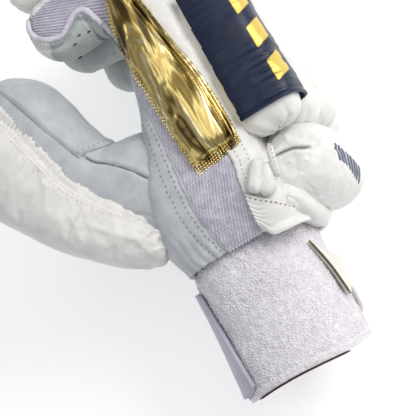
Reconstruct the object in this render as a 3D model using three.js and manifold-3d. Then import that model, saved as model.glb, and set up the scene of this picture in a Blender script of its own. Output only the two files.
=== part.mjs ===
// A right-hand cricket batting glove, lying on its little-finger side.
// X runs from the palm to the back of the hand, Y from the cuff to the fingers, Z up to the thumb side.
// Sizes are millimetres. Tables of sections hold shares of the named sizes that they follow.
import * as THREE from "three";
import { mergeVertices } from "three/addons/utils/BufferGeometryUtils.js";
import Module from "manifold-3d";

const wasm = await Module();
wasm.setup();

// Clear space between neighbouring pieces, and the level of the surface that flattens the soft underside.
const gap = 0.35;
const floorLevel = 0.8;

// Finger stalls: the leather tubes that the fingers go into.
const stallWide = 24.6;
const stallThick = 30;
const stallSpace = 0.9;
const stallWall = 2.2;
const stallReach = 13;
const stallTip = 13;
const stallTuck = 6;
const stallPitch = stallWide + stallSpace;

// The hand: one shell round palm and knuckles, from the wrist mouth to the fingers' roots.
// Its back arches away towards the little finger.
const handLong = 87;
const handThick = 33;
const handWall = 2.4;
const handWide = 4 * stallPitch;
const handRound = 12.5;
const handArch = 7;
const backPlane = 41;
const wristY = -27;
const frontSlant = 17;
const palmPlane = backPlane - handThick;
const handFront = wristY + handLong;
const middleZ = handWide / 2;

// The thumb: a stall, the padded guard along its outer side, and a patch over its pad.
const thumbLong = 100;
const thumbThick = 33;
const thumbWall = 2.6;
const guardHigh = 18;
const guardWide = 44;
const guardOffset = 17;
const patchThick = 1.3;
const patchSeam = 6.5;
const patchFrom = 0.48;
const thumbRoot = new THREE.Vector3(5, -5, 78);

// Padded rolls on the back of the hand and of each finger.
const rollHigh = 31;
const rollWide = 24.2;
const rollSink = 4.5;
const fingerRollHigh = 24;
const fingerRollSink = 1.5;
const rollStart = 6;
const rollPastBend = 4;
const rollSeam = 2;
const sleeveWall = 1.2;
const sleeveStart = 14;
const sleeveBase = 1;
const sleeveEndInset = 1.8;

// The bolster across the wrist end of the back, and the smaller roll below it.
const bolsterRadius = 16.5;
const bolsterLong = 79;
const bolsterY = -7;
const bolsterZ = 45.5;
const bolsterRise = 8.6;
const bolsterArch = 2;
const bolsterLean = 3;
const wristRollWide = 11.5;
const wristRollHigh = 6.5;
const wristRollTurn = 54;
const wristRollLong = 70;
const wristRollZ = 57;
const wristRollY = -21;
const wristRollRise = -2;
const wristRollLean = 8;

// The bar along the side of the index finger, the puffs and the flap beside the wrist mouth.
const barHigh = 9;
const barLong = 87.5;
const barStart = 8.5;
const puffLong = 14;
const puffWide = 6.4;
const puffHigh = 5;
const puffTurn = 35;
const flapThick = 2.2;
const flapDrop = 4;

// The towelling band round the wrist, its hem and its strap.
const bandLong = 66;
const bandThick = 58;
const bandWide = 74;
const bandWall = 4.5;
const bandTuck = 9;
const bandX = 9;
const bandLean = 2.75;
const cuffSlant = 11;
const cuffDip = 3;
const hemHigh = 3;
const hemProud = 1.2;
const strapThick = 1.9;
const strapStand = 0.6;
const strapLong = 50;
const strapTabLong = 30;
const strapStart = 5;
const strapTabDrop = 4;
const strapFlare = 0.3;

const X = new THREE.Vector3(1, 0, 0);
const Y = new THREE.Vector3(0, 1, 0);
const Z = new THREE.Vector3(0, 0, 1);

function mix(a, b, share) {
  return a + (b - a) * share;
}

function ease(low, high, value) {
  const share = Math.min(1, Math.max(0, (value - low) / (high - low)));
  return share * share * (3 - 2 * share);
}

// One column of a table at a place between its rows, on a curve through the rows.
function column(rows, name, at) {
  const last = rows.length - 1;
  if (at <= rows[0].at) return rows[0][name];
  if (at >= rows[last].at) return rows[last][name];
  const k = rows.findIndex((row) => row.at > at) - 1;
  const [before, from, to, after] = [k - 1, k, k + 1, k + 2].map((n) => rows[Math.min(last, Math.max(0, n))]);
  const slope = (a, b) => (b.at > a.at ? (b[name] - a[name]) / (b.at - a.at) : 0);
  const step = to.at - from.at;
  const share = (at - from.at) / step;
  const [m0, m1] = [slope(before, to) * step, slope(from, after) * step];
  const [s2, s3] = [share ** 2, share ** 3];
  return (
    (2 * s3 - 3 * s2 + 1) * from[name] + (s3 - 2 * s2 + share) * m0 + (3 * s2 - 2 * s3) * to[name] + (s3 - s2) * m1
  );
}

// The signed power that bends a circle towards a rounded square.
function bow(value, power) {
  return Math.sign(value) * Math.abs(value) ** (2 / power);
}

// How far the arch of the hand drops its back at a height.
function archAt(z) {
  return handArch * (1 - Math.min(1, Math.max(0, z / handWide))) ** 2;
}

// A closed ring round a frame's point: `far` along its out direction, `near` against it, `half` to each side.
function oval(frame, { far, near, half, power = 2.4, sides = 12 }) {
  const middle = frame.point.clone().addScaledVector(frame.out, (far - near) / 2);
  return Array.from({ length: sides }, (_, k) => {
    const turn = (2 * Math.PI * k) / sides;
    return middle
      .clone()
      .addScaledVector(frame.out, (bow(Math.cos(turn), power) * (far + near)) / 2)
      .addScaledVector(frame.side, bow(Math.sin(turn), power) * half);
  });
}

function flattened(rings) {
  return rings.map((ring) => ring.map((p) => new THREE.Vector3(p.x, p.y, Math.max(p.z, floorLevel))));
}

// A closed mesh as a solid, turned right side out if it isn't.
function solidOf(geometry) {
  const bare = geometry.clone();
  bare.deleteAttribute("normal");
  bare.deleteAttribute("uv");
  const merged = mergeVertices(bare, 1e-4);
  const make = (triVerts) =>
    new wasm.Manifold(new wasm.Mesh({ numProp: 3, vertProperties: merged.attributes.position.array, triVerts }));
  const faces = new Uint32Array(merged.index.array);
  const made = make(faces);
  return made.volume() < 0 ? make(faces.reverse()) : made;
}

// A solid skinned over rings of equal count, with a fan over each end.
function skin(rings) {
  const sides = rings[0].length;
  const points = rings.flat();
  const ends = [rings[0], rings[rings.length - 1]];
  ends.forEach((ring) => {
    points.push(ring.reduce((sum, p) => sum.add(p), new THREE.Vector3()).divideScalar(sides));
  });
  const faces = [];
  for (let k = 0; k < sides; k++) {
    const next = (k + 1) % sides;
    for (let r = 0; r + 1 < rings.length; r++) {
      const [a, b, c, d] = [r * sides + k, r * sides + next, (r + 1) * sides + next, (r + 1) * sides + k];
      faces.push(a, b, c, a, c, d);
    }
    const lastRow = (rings.length - 1) * sides;
    faces.push(points.length - 2, next, k);
    faces.push(points.length - 1, lastRow + k, lastRow + next);
  }
  const geometry = new THREE.BufferGeometry();
  geometry.setAttribute("position", new THREE.BufferAttribute(new Float32Array(points.flatMap((p) => p.toArray())), 3));
  geometry.setIndex(faces);
  return solidOf(geometry);
}

// A block that stands on an outline in the XY plane, from one height to another.
function prism(outline, low, high) {
  const shape = new THREE.Shape(outline.map(([x, y]) => new THREE.Vector2(x, y)));
  const block = new THREE.ExtrudeGeometry(shape, { depth: high - low, bevelEnabled: false });
  return solidOf(block.translate(0, 0, low));
}

// The biggest body of a cut, without the slivers that it leaves.
function biggest(solid) {
  return solid.decompose().sort((a, b) => b.volume() - a.volume())[0];
}

function cutBack(solid, ...cutters) {
  return biggest(cutters.reduce((left, cutter) => left.subtract(cutter), solid));
}

// How full a padded roll is along its length: blunt round ends on an even middle.
const rollEnds = [
  { at: 0, full: 0.55 },
  { at: 0.045, full: 0.83 },
  { at: 0.18, full: 0.98 },
  { at: 0.5, full: 1 },
  { at: 0.82, full: 0.98 },
  { at: 0.955, full: 0.83 },
  { at: 1, full: 0.55 },
];

// A padded roll along a line of frames.
function roll(line, { far, near, half, power = 2.6, sides = 10, ends = rollEnds }) {
  return skin(
    flattened(
      ends.map(({ at, full }) =>
        oval(line(at), { far: far * full, near: near * full, half: half * full, power, sides }),
      ),
    ),
  );
}

// The hand's sections from the wrist mouth to the fingers' roots, as shares of handThick and handWide.
const handRows = [
  { at: 0.0, palm: 0.68, back: -0.03, low: 0.09, high: 0.13 },
  { at: 0.15, palm: 0.74, back: 0.0, low: 0.045, high: 0.06 },
  { at: 0.35, palm: 0.68, back: 0.0, low: 0.0, high: 0.005 },
  { at: 0.55, palm: 0.42, back: 0.0, low: -0.008, high: 0.0 },
  { at: 0.75, palm: 0.19, back: 0.0, low: -0.01, high: 0.0 },
  { at: 0.9, palm: 0.09, back: 0.0, low: -0.01, high: 0.0 },
  { at: 0.98, palm: 0.04, back: -0.01, low: -0.008, high: 0.002 },
  { at: 1.0, palm: -0.02, back: -0.04, low: 0.005, high: 0.015 },
];
const cornerSteps = 3;
const longSteps = 4;

// A ring with four round corners; its long sides have points of their own, so that they can arch.
function cornered(halfOut, halfSide, round) {
  const radius = Math.min(round, halfOut * 0.95);
  const [flatOut, flatSide] = [halfOut - radius, halfSide - radius];
  const ring = [];
  [
    [1, 1],
    [-1, 1],
    [-1, -1],
    [1, -1],
  ].forEach(([out, side], corner) => {
    for (let k = 0; k <= cornerSteps; k++) {
      const turn = (corner + k / cornerSteps) * (Math.PI / 2);
      ring.push([out * flatOut + radius * Math.cos(turn), side * flatSide + radius * Math.sin(turn)]);
    }
    if (out !== side) {
      for (let k = 1; k < longSteps; k++) {
        ring.push([out * halfOut, side * mix(flatSide, -flatSide, k / longSteps)]);
      }
    }
  });
  return ring;
}

// The hand's ring at a share of its length, grown outwards; the front slants back to the little finger.
function handRing(at, grow) {
  const y = wristY + at * handLong;
  const palm = palmPlane - column(handRows, "palm", at) * handThick - grow;
  const back = backPlane + column(handRows, "back", at) * handThick + grow;
  const low = column(handRows, "low", at) * handWide - grow;
  const high = handWide * (1 - column(handRows, "high", at)) + grow;
  const slant = frontSlant * ease(0.3, 1, at);
  return cornered((back - palm) / 2, (high - low) / 2, handRound + grow).map(([out, side]) => {
    const z = (low + high) / 2 + side;
    return new THREE.Vector3((palm + back) / 2 + out - archAt(z), y + slant * (z / handWide - 1), z);
  });
}

function handBody(grow, from, to) {
  const stops = [0, 0.08, 0.18, 0.3, 0.42, 0.55, 0.68, 0.8, 0.9, 0.97, 1];
  return skin(flattened(stops.map((stop) => handRing(mix(from, to, stop), grow))));
}

const handOuter = handBody(0, 0, 1);
const handClear = handBody(gap, -0.01, 1.005);
const mouthRun = 0.08;
const handStops = [-mouthRun, 0, 0.12, 0.26, 0.4, 0.55, 0.7, 0.84, 1 - (1.4 * handWall) / handLong];
const handInner = skin(handStops.map((at) => handRing(at, -handWall)));

// The four fingers, from the little one at the bottom: where the bend starts past the palm's front,
// its radius as a share of stallThick, its angle, how far the tip runs on, as a share of stallReach,
// and the height and fall of the roll on the hand bone, as shares of rollHigh.
const fingers = [
  { name: "little", past: -13, radius: 0.68, bend: 80, reach: 0.15, rise: 1.0, fall: 0.12 },
  { name: "ring", past: -2, radius: 0.7, bend: 88, reach: 0.5, rise: 1.14, fall: 0.24 },
  { name: "middle", past: 7.5, radius: 0.72, bend: 86, reach: 1.2, rise: 1.05, fall: 0.1 },
  { name: "index", past: 11, radius: 0.72, bend: 92, reach: 1.1, rise: 1.0, fall: 0.08 },
].map((finger, place) => ({
  ...finger,
  z: (place + 0.5) * stallPitch,
  x: backPlane - 0.5 - stallThick / 2 - archAt((place + 0.5) * stallPitch),
  bendY: handFront + finger.past,
  bendRadius: finger.radius * stallThick,
  turn: THREE.MathUtils.degToRad(finger.bend),
  tipRun: finger.reach * stallReach,
}));

// A frame on a finger's middle line, moved out to the back by `lift`.
// `run` is negative below the bend, an angle's share up to 1 on it, and 1 plus a share of stallReach past it.
function fingerFrame(finger, run, lift = 0) {
  const { x, z, bendY, bendRadius, turn } = finger;
  const angle = Math.min(1, Math.max(0, run)) * turn;
  const out = new THREE.Vector3(Math.cos(angle), Math.sin(angle), 0);
  const point = new THREE.Vector3(x - bendRadius, bendY, z).addScaledVector(out, bendRadius + lift);
  if (run < 0) point.y += run * handLong;
  if (run > 1) point.addScaledVector(new THREE.Vector3(-Math.sin(turn), Math.cos(turn), 0), (run - 1) * stallReach);
  return { point, out, side: Z };
}

// A finger stall's rings: straight root, bend, and rounded tip.
function stallRings(finger, grow, root) {
  const end = 1 + finger.reach;
  const tip = stallTip / stallReach;
  const rows = [
    { run: root, full: 1 },
    { run: 0, full: 1 },
    { run: 0.25, full: 1 },
    { run: 0.5, full: 1 },
    { run: 0.75, full: 1 },
    { run: 1, full: 0.98 },
    { run: end + 0.25 * tip, full: 0.9 },
    { run: end + 0.66 * tip + (0.6 * grow) / stallReach, full: 0.7 },
    { run: end + 0.92 * tip + grow / stallReach, full: 0.4 },
  ];
  return rows.map(({ run, full }) => {
    const reach = (stallThick / 2 + grow) * full;
    const half = (stallWide / 2 + grow) * full;
    return oval(fingerFrame(finger, run), { far: reach, near: reach, half, power: 2.6 });
  });
}

const rootRun = -0.16;
fingers.forEach((finger) => {
  const frontY = handFront - frontSlant * (1 - finger.z / handWide);
  const root = Math.min((frontY - stallTuck - finger.bendY) / handLong, -0.02);
  finger.outer = skin(flattened(stallRings(finger, 0, root)));
  finger.clear = skin(flattened(stallRings(finger, gap, root)));
  finger.inner = skin(stallRings(finger, -stallWall, root + rootRun));
});

// The thumb's middle line from its root in the palm, as shares of thumbLong.
const thumbLine = [
  { at: 0, x: 0, y: 0, z: 0 },
  { at: 0.2, x: -0.15, y: 0.13, z: 0.05 },
  { at: 0.48, x: -0.33, y: 0.35, z: 0.1 },
  { at: 0.68, x: -0.41, y: 0.53, z: 0.14 },
  { at: 0.855, x: -0.47, y: 0.695, z: 0.16 },
  { at: 0.985, x: -0.53, y: 0.81, z: 0.17 },
  { at: 1.15, x: -0.62, y: 0.95, z: 0.17 },
];

function thumbPoint(at) {
  const place = (name) => column(thumbLine, name, at) * thumbLong;
  return new THREE.Vector3(place("x"), place("y"), place("z")).add(thumbRoot);
}

// A frame on the thumb's middle line; its out direction points to the guard.
function thumbFrame(at) {
  const ahead = thumbPoint(at + 0.03).sub(thumbPoint(at - 0.03));
  const out = new THREE.Vector3().crossVectors(Z, ahead).normalize();
  const side = new THREE.Vector3().crossVectors(ahead, out).normalize();
  return { point: thumbPoint(at), out, side };
}

// The thumb stall: its near side spreads into the web at its root, and its tip is round.
const thumbRows = [
  { at: 0.04, full: 1.05, near: 1.3 },
  { at: 0.18, full: 1.05, near: 1.5 },
  { at: 0.32, full: 1.0, near: 1.6 },
  { at: 0.4, full: 0.98, near: 1.36 },
  { at: 0.48, full: 0.96, near: 0.98 },
  { at: 0.62, full: 0.98, near: 0.93 },
  { at: 0.76, full: 1.0, near: 0.99 },
  { at: 0.88, full: 0.97, near: 1.0 },
  { at: 0.96, full: 0.82, near: 0.95 },
  { at: 1.01, full: 0.64, near: 0.9 },
  { at: 1.045, full: 0.42, near: 0.85 },
];

function thumbBody(grow) {
  return skin(
    thumbRows.map((row) => {
      const at = row.at + (row.at > 0.9 ? grow / thumbLong : 0);
      const reach = (thumbThick / 2 + grow) * row.full;
      return oval(thumbFrame(at), { far: reach, near: reach * row.near, half: reach, power: 2.2, sides: 14 });
    }),
  );
}

// The guard's sections: chopped and sewn down at the root, full along the thumb, and round past the tip.
const guardRows = [
  { at: 0.135, full: 0.4, wide: 0.52, offset: 0.96 },
  { at: 0.15, full: 0.52, wide: 0.7, offset: 0.96 },
  { at: 0.2, full: 0.68, wide: 0.88, offset: 0.98 },
  { at: 0.28, full: 0.79, wide: 0.98, offset: 1 },
  { at: 0.4, full: 0.88, wide: 1.04, offset: 1 },
  { at: 0.55, full: 1, wide: 1.04, offset: 1 },
  { at: 0.72, full: 1.22, wide: 1.02, offset: 1 },
  { at: 0.86, full: 1.28, wide: 0.97, offset: 1 },
  { at: 0.96, full: 1.2, wide: 0.88, offset: 0.92 },
  { at: 1.05, full: 1, wide: 0.72, offset: 0.75 },
  { at: 1.12, full: 0.66, wide: 0.48, offset: 0.6 },
  { at: 1.15, full: 0.34, wide: 0.24, offset: 0.55 },
];

const guardBody = skin(
  guardRows.map(({ at, full, wide, offset }) => {
    const frame = thumbFrame(at);
    frame.point.addScaledVector(frame.out, guardOffset * offset);
    const reach = guardHigh * full;
    return oval(frame, { far: reach, near: reach, half: (guardWide / 2) * wide, power: 2.3, sides: 14 });
  }),
);

const thumbOuter = thumbBody(0);
const thumbInner = thumbBody(-thumbWall);
const thumbClear = thumbBody(gap);
const thumbStall = cutBack(thumbOuter, handClear, thumbInner);
const patchBody = thumbBody(gap + patchThick);

// The patch covers the thumb's pad, from mid-thumb to the tip.
const patchStops = [0, 0.25, 0.5, 0.75, 1].map((share) => mix(patchFrom, 1, share));
const patchEdge = (distance) =>
  patchStops.map((at) => thumbFrame(at)).map(({ point, out }) => point.addScaledVector(out, -distance));
const patchOutline = [...patchEdge(patchSeam), ...patchEdge(thumbThick).reverse()].map((p) => [p.x, p.y]);
const patchRegion = prism(patchOutline, thumbRoot.z - thumbThick, thumbRoot.z + 2 * thumbThick);
const thumbPatch = biggest(patchBody.subtract(thumbClear).intersect(patchRegion));
const thumbGuard = cutBack(guardBody, patchBody, handClear);

// Where the palm leather, the knitted gusset and the back panel meet on the thumb side, as shares of handThick.
const seamRows = [
  { at: -0.02, palm: 0.0, back: 0.52 },
  { at: 0.2, palm: -0.06, back: 0.62 },
  { at: 0.36, palm: 0.0, back: 0.71 },
  { at: 0.6, palm: 0.09, back: 0.68 },
  { at: 0.85, palm: 0.08, back: 0.54 },
  { at: 1.1, palm: 0.08, back: 0.4 },
];
const seamStops = [-0.05, 0.05, 0.15, 0.25, 0.36, 0.5, 0.65, 0.8, 1.1];
const littleSideSeam = 0.2;
const seamLevel = handWide * 0.58;
const wideOut = handWide;

function seamPoints(name, shift) {
  return seamStops.map((at) => [
    palmPlane + column(seamRows, name, at) * handThick + shift,
    wristY + at * handLong,
  ]);
}

// A region on one side of a seam: everything from the seam to `edgeX`, between two heights.
function seamRegion(points, edgeX, low, high) {
  const [first, last] = [points[0], points[points.length - 1]];
  return prism([...points, [edgeX, last[1]], [edgeX, first[1]]], low, high);
}

function straightSeam(shift) {
  const x = palmPlane + littleSideSeam * handThick + shift;
  return [seamStops[0], seamStops[seamStops.length - 1]].map((at) => [x, wristY + at * handLong]);
}

const half = gap / 2;
const [under, over] = [-wideOut, 2 * wideOut];
const palmRegion = seamRegion(seamPoints("palm", -half), -wideOut, seamLevel - 1, over).add(
  seamRegion(straightSeam(-half), -wideOut, under, seamLevel),
);
const backRegion = seamRegion(seamPoints("back", half), wideOut, seamLevel - 1, over).add(
  seamRegion(straightSeam(half), wideOut, under, seamLevel),
);
const gussetRegion = seamRegion(seamPoints("palm", half), wideOut, seamLevel + gap, over).intersect(
  seamRegion(seamPoints("back", -half), -wideOut, seamLevel + gap, over),
);

// The hand's shell is hollow, and open to the wrist, the thumb and each finger.
const shell = [handInner, thumbInner, ...fingers.map((finger) => finger.inner)].reduce(
  (left, hollow) => left.subtract(hollow),
  handOuter,
);
const palm = biggest(shell.intersect(palmRegion));
const backPanel = biggest(shell.intersect(backRegion));
const sideGusset = biggest(shell.intersect(gussetRegion));

// The index finger's knitted side: its outline from the bend's middle, as shares of stallThick.
// Its back edge follows the finger, and its palm edge runs in a wave along the leather.
const knitRows = [
  { x: 0.72, y: -0.6 },
  { x: 0.74, y: 0.2 },
  { x: 0.7, y: 0.55 },
  { x: 0.55, y: 0.84 },
  { x: 0.25, y: 1.02 },
  { x: -0.1, y: 1.06 },
  { x: -0.5, y: 1.04 },
  { x: -0.78, y: 0.98 },
  { x: -0.8, y: 0.76 },
  { x: -0.68, y: 0.58 },
  { x: -0.53, y: 0.5 },
  { x: -0.36, y: 0.48 },
  { x: -0.18, y: 0.58 },
  { x: -0.03, y: 0.63 },
  { x: 0.08, y: 0.58 },
  { x: 0.14, y: 0.42 },
  { x: 0.2, y: 0.26 },
  { x: 0.24, y: 0.0 },
  { x: 0.24, y: -0.6 },
];

function knitRegion(low, shrink) {
  const index = fingers[3];
  const [middleX, middleY] = [index.x - index.bendRadius, index.bendY];
  const corners = knitRows.map(({ x, y }) => new THREE.Vector2(middleX + x * stallThick, middleY + y * stallThick));
  const outline = corners.map((corner, k) => {
    const before = corners[(k + corners.length - 1) % corners.length];
    const after = corners[(k + 1) % corners.length];
    const along = after.clone().sub(before).normalize();
    return [corner.x - along.y * shrink, corner.y + along.x * shrink];
  });
  return prism(outline, low, handWide + stallWide);
}

const stalls = {};
fingers.forEach((finger) => {
  stalls[finger.name] = cutBack(finger.outer, handClear, finger.inner);
});
const knitLow = fingers[3].z + stallWide * 0.24;
const indexGusset = biggest(stalls.index.intersect(knitRegion(knitLow + half, half)));
stalls.index = cutBack(stalls.index, knitRegion(knitLow - half, -half));

// Rolls that lie across the hand, from the thumb side down to the little-finger side.
function crossLine({ long, y, z, rise, arch, lean }) {
  return (at) => {
    const across = at - 0.5;
    return {
      point: new THREE.Vector3(backPlane + rise - arch * (2 * across) ** 2 - lean * at, y, z - across * long),
      out: X,
      side: Y,
    };
  };
}

const crossEnds = [
  { at: 0, full: 0.36 },
  { at: 0.025, full: 0.6 },
  { at: 0.08, full: 0.86 },
  { at: 0.18, full: 0.98 },
  { at: 0.4, full: 1.02 },
  { at: 0.65, full: 1.02 },
  { at: 0.83, full: 0.98 },
  { at: 0.92, full: 0.86 },
  { at: 0.975, full: 0.6 },
  { at: 1, full: 0.36 },
];

function bolsterBody(grow) {
  const size = bolsterRadius + grow;
  const line = crossLine({
    long: bolsterLong + 2 * grow,
    y: bolsterY,
    z: bolsterZ,
    rise: bolsterRise,
    arch: bolsterArch,
    lean: bolsterLean,
  });
  return roll(line, { far: size, near: size, half: size, power: 2.1, sides: 16, ends: crossEnds });
}

function wristRollBody(grow) {
  const across = crossLine({
    long: wristRollLong + 2 * grow,
    y: wristRollY,
    z: wristRollZ,
    rise: wristRollRise,
    arch: 0,
    lean: wristRollLean,
  });
  const [out, side] = [X, Y].map((axis) => axis.clone().applyAxisAngle(Z, -THREE.MathUtils.degToRad(wristRollTurn)));
  const line = (at) => ({ point: across(at).point, out, side });
  const reach = wristRollWide + grow;
  return roll(line, { far: reach, near: reach, half: wristRollHigh + grow, power: 2.2, sides: 12 });
}

const bolster = cutBack(bolsterBody(0), handClear);
const bolsterClear = bolsterBody(gap);
const wristRoll = cutBack(wristRollBody(0), bolsterClear, handClear);
const wristRollClear = wristRollBody(gap);

// The padded roll on the back of each finger's hand bone, then one on each of its three joints.
const rolls = [];
const clearOfStalls = [handClear, ...fingers.map((finger) => finger.clear)].reduce((sum, solid) => sum.add(solid));

function handRollFrame(finger, y) {
  const end = finger.bendY + rollPastBend;
  const fall = finger.fall * rollHigh * ease(rollStart, end, y);
  const x = finger.x + stallThick / 2 + (finger.rise * rollHigh) / 2 - rollSink - fall;
  return { point: new THREE.Vector3(x, y, finger.z), out: X, side: Z };
}

function handRollBody(finger, shrink) {
  const size = (finger.rise * rollHigh) / 2 - shrink;
  const line = (at) => handRollFrame(finger, mix(rollStart, finger.bendY + rollPastBend, at));
  return roll(line, { far: size, near: size, half: rollWide / 2 - shrink, power: 3 });
}

const sleeveGrow = gap + sleeveWall;
const sleeveShrink = sleeveGrow - stallSpace / 2;
fingers.forEach((finger) => {
  const shrink = finger.name === "index" ? sleeveShrink : 0;
  rolls.push([`hand_roll_${finger.name}`, cutBack(handRollBody(finger, shrink), clearOfStalls, bolsterClear)]);

  const lift = stallThick / 2 + fingerRollHigh / 2 - fingerRollSink;
  const length = finger.turn * (finger.bendRadius + lift);
  const begin = (rollPastBend + rollSeam) / length;
  const split = mix(begin, 1, 0.5);
  const share = rollSeam / 2 / length;
  const tipShare = rollSeam / 2 / stallReach;
  const parts = [
    ["knuckle_roll", begin, split - share],
    ["finger_roll", split + share, 1 - share],
    ["tip_roll", 1 + tipShare, 1 + finger.reach + (0.92 * stallTip) / stallReach],
  ];
  parts.forEach(([name, from, to]) => {
    const line = (at) => fingerFrame(finger, mix(from, to, at), lift);
    const size = fingerRollHigh / 2;
    const body = roll(line, { far: size, near: size, half: rollWide / 2, power: 2.8 });
    rolls.push([`${name}_${finger.name}`, cutBack(body, clearOfStalls)]);
  });
});

// The dark leather sleeve round the index finger's roll, open at both ends.
function sleeveTube(grow, overrun) {
  const finger = fingers[3];
  const far = rollHigh / 2 - sleeveShrink + grow;
  const side = rollWide / 2 - sleeveShrink + grow;
  const [from, to] = [sleeveStart - overrun, finger.bendY + rollPastBend - sleeveEndInset + overrun];
  const rings = [0, 0.33, 0.67, 1].map((at) =>
    oval(handRollFrame(finger, mix(from, to, at)), { far, near: far, half: side, power: 3, sides: 20 }),
  );
  return skin(rings);
}

const sleeveLow = backPlane + sleeveBase;
const sleeveBlock = prism(
  [
    [sleeveLow, wristY],
    [sleeveLow + 2 * rollHigh, wristY],
    [sleeveLow + 2 * rollHigh, handFront + handLong],
    [sleeveLow, handFront + handLong],
  ],
  middleZ,
  2 * handWide,
);
const indexSleeve = cutBack(sleeveTube(sleeveGrow, 0), sleeveTube(gap, 2), clearOfStalls).intersect(sleeveBlock);

// The side bar's sections along the index finger's side, as shares of handThick from the palm plane.
const barRows = [
  { at: 0.0, left: 0.25, right: 0.86, full: 0.6 },
  { at: 0.03, left: 0.24, right: 0.88, full: 0.88 },
  { at: 0.12, left: 0.22, right: 0.88, full: 1.0 },
  { at: 0.35, left: 0.16, right: 0.84, full: 1.0 },
  { at: 0.6, left: 0.14, right: 0.71, full: 0.96 },
  { at: 0.8, left: 0.2, right: 0.62, full: 0.85 },
  { at: 0.95, left: 0.32, right: 0.56, full: 0.62 },
  { at: 1.0, left: 0.38, right: 0.5, full: 0.35 },
];
const barLevel = handWide - 1.5;

const sideBarBody = skin(
  barRows.map(({ at, left, right, full }) => {
    const [from, to] = [palmPlane + left * handThick, palmPlane + right * handThick];
    const point = new THREE.Vector3((from + to) / 2, barStart + at * barLong, barLevel);
    const reach = (to - from) / 2;
    return oval({ point, out: X, side: Z }, { far: reach, near: reach, half: barHigh * full, power: 2.5 });
  }),
);
const sideBar = cutBack(sideBarBody, clearOfStalls, sleeveTube(sleeveGrow + gap, rollStart));

// Two leather puffs between the knit and the bolster, on the thumb side of the wrist.
const puffRows = [
  { x: 0.84, y: -0.0876, z: 0.965 },
  { x: 0.946, y: -0.1263, z: 0.935 },
];

function puffBody({ x, y, z }, grow) {
  const middle = new THREE.Vector3(palmPlane + x * handThick, y * handLong, z * handWide);
  const along = Y.clone().applyAxisAngle(Z, -THREE.MathUtils.degToRad(puffTurn));
  const out = X.clone().applyAxisAngle(Z, -THREE.MathUtils.degToRad(puffTurn));
  const size = puffWide / 2 + grow;
  const line = (at) => ({ point: middle.clone().addScaledVector(along, (at - 0.5) * puffLong), out, side: Z });
  return roll(line, { far: size, near: size, half: puffHigh + grow, power: 2.2 });
}

const puffs = [];
puffRows.forEach((row, place) => {
  const others = puffRows.slice(0, place).map((other) => puffBody(other, gap));
  puffs.push(cutBack(puffBody(row, 0), handClear, bolsterClear, wristRollClear, ...others));
});
const puffClear = puffRows.map((row) => puffBody(row, gap)).reduce((sum, solid) => sum.add(solid));

// The wristband leans towards the palm at the cuff; its top is tucked into the hand's mouth.
function bandFrame(y) {
  const share = (wristY + bandTuck - y) / bandLong;
  const waist = 1 - 0.03 * Math.sin(Math.PI * Math.min(1, Math.max(0, share))) - 0.04 * share;
  const point = new THREE.Vector3(bandX - bandLean * share, y, middleZ - 1.5);
  return { point, waist };
}

// The cuff's edge slants back on the little-finger side, and dips in the middle of its thumb side.
function slanted(p) {
  const share = (wristY + bandTuck - p.y) / bandLong;
  const down = (middleZ + bandWide / 2 - p.z) / bandWide;
  const across = (p.x - bandX + bandLean * share) / (bandThick / 2);
  const shift = cuffSlant * down + cuffDip * Math.max(0, 1 - across ** 2) * (1 - ease(0, 0.6, down));
  return p.setY(p.y + shift * ease(0.15, 1, share));
}

function bandRing(at, grow) {
  const { point, waist } = bandFrame(wristY + bandTuck - at * bandLong);
  const reach = (bandThick / 2) * waist + grow;
  const half = (bandWide / 2) * waist + grow;
  return oval({ point, out: X, side: Z }, { far: reach, near: reach, half, power: 2.3, sides: 24 }).map(slanted);
}

const tuckShare = bandTuck / bandLong;
const tuckIn = (at) => -2.2 * (1 - ease(0, tuckShare * 1.6, at));
const bandBody = (grow) => skin([0, tuckShare, 0.3, 0.55, 0.8, 1].map((at) => bandRing(at, tuckIn(at) + grow)));
const bandOuter = bandBody(0);
const bandClear = bandBody(gap);
const bandInner = skin([-0.05, 0.35, 0.7, 1.05].map((at) => bandRing(at, -bandWall - 1)));
const handMouth = shell.add(handClear.subtract(handBody(-handWall - gap, -mouthRun, 0.5)));
const wristband = cutBack(bandOuter, bandInner, handMouth, wristRollClear);

// The flap that closes the back panel over the top of the towelling: its outline, as shares of
// handThick from the palm plane and of handLong from the wrist.
const flapRows = [
  { x: 0.61, y: 0.175 },
  { x: 0.53, y: 0.08 },
  { x: 0.52, y: -0.01 },
  { x: 0.58, y: -0.034 },
  { x: 0.75, y: -0.044 },
  { x: 1.45, y: -0.034 },
  { x: 1.45, y: 0.01 },
  { x: 1.05, y: 0.04 },
  { x: 0.91, y: 0.083 },
  { x: 0.76, y: 0.126 },
];
const flapRegion = prism(
  flapRows.map(({ x, y }) => [palmPlane + x * handThick, wristY + y * handLong]),
  handWide * 0.55,
  2 * handWide,
);
const flapBody = handBody(gap + flapThick, -flapDrop / handLong - 0.01, 0.3).intersect(flapRegion);
const backFlap = cutBack(flapBody, handBody(gap, -0.2, 0.35), wristRollClear, bolsterClear, puffClear, bandClear);

// The rolled hem closes the cuff's edge.
function hemRing(at, grow) {
  return bandRing(1, grow).map((p) => p.setY(p.y - gap - at * hemHigh));
}

const hemOuter = skin([0, 0.35, 0.7, 1].map((at) => hemRing(at, hemProud * Math.sin(Math.PI * (0.25 + 0.6 * at)))));
const hemInner = skin([-1, 2].map((at) => hemRing(at, -bandWall - 0.6)));
const cuffHem = hemOuter.subtract(hemInner);

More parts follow.
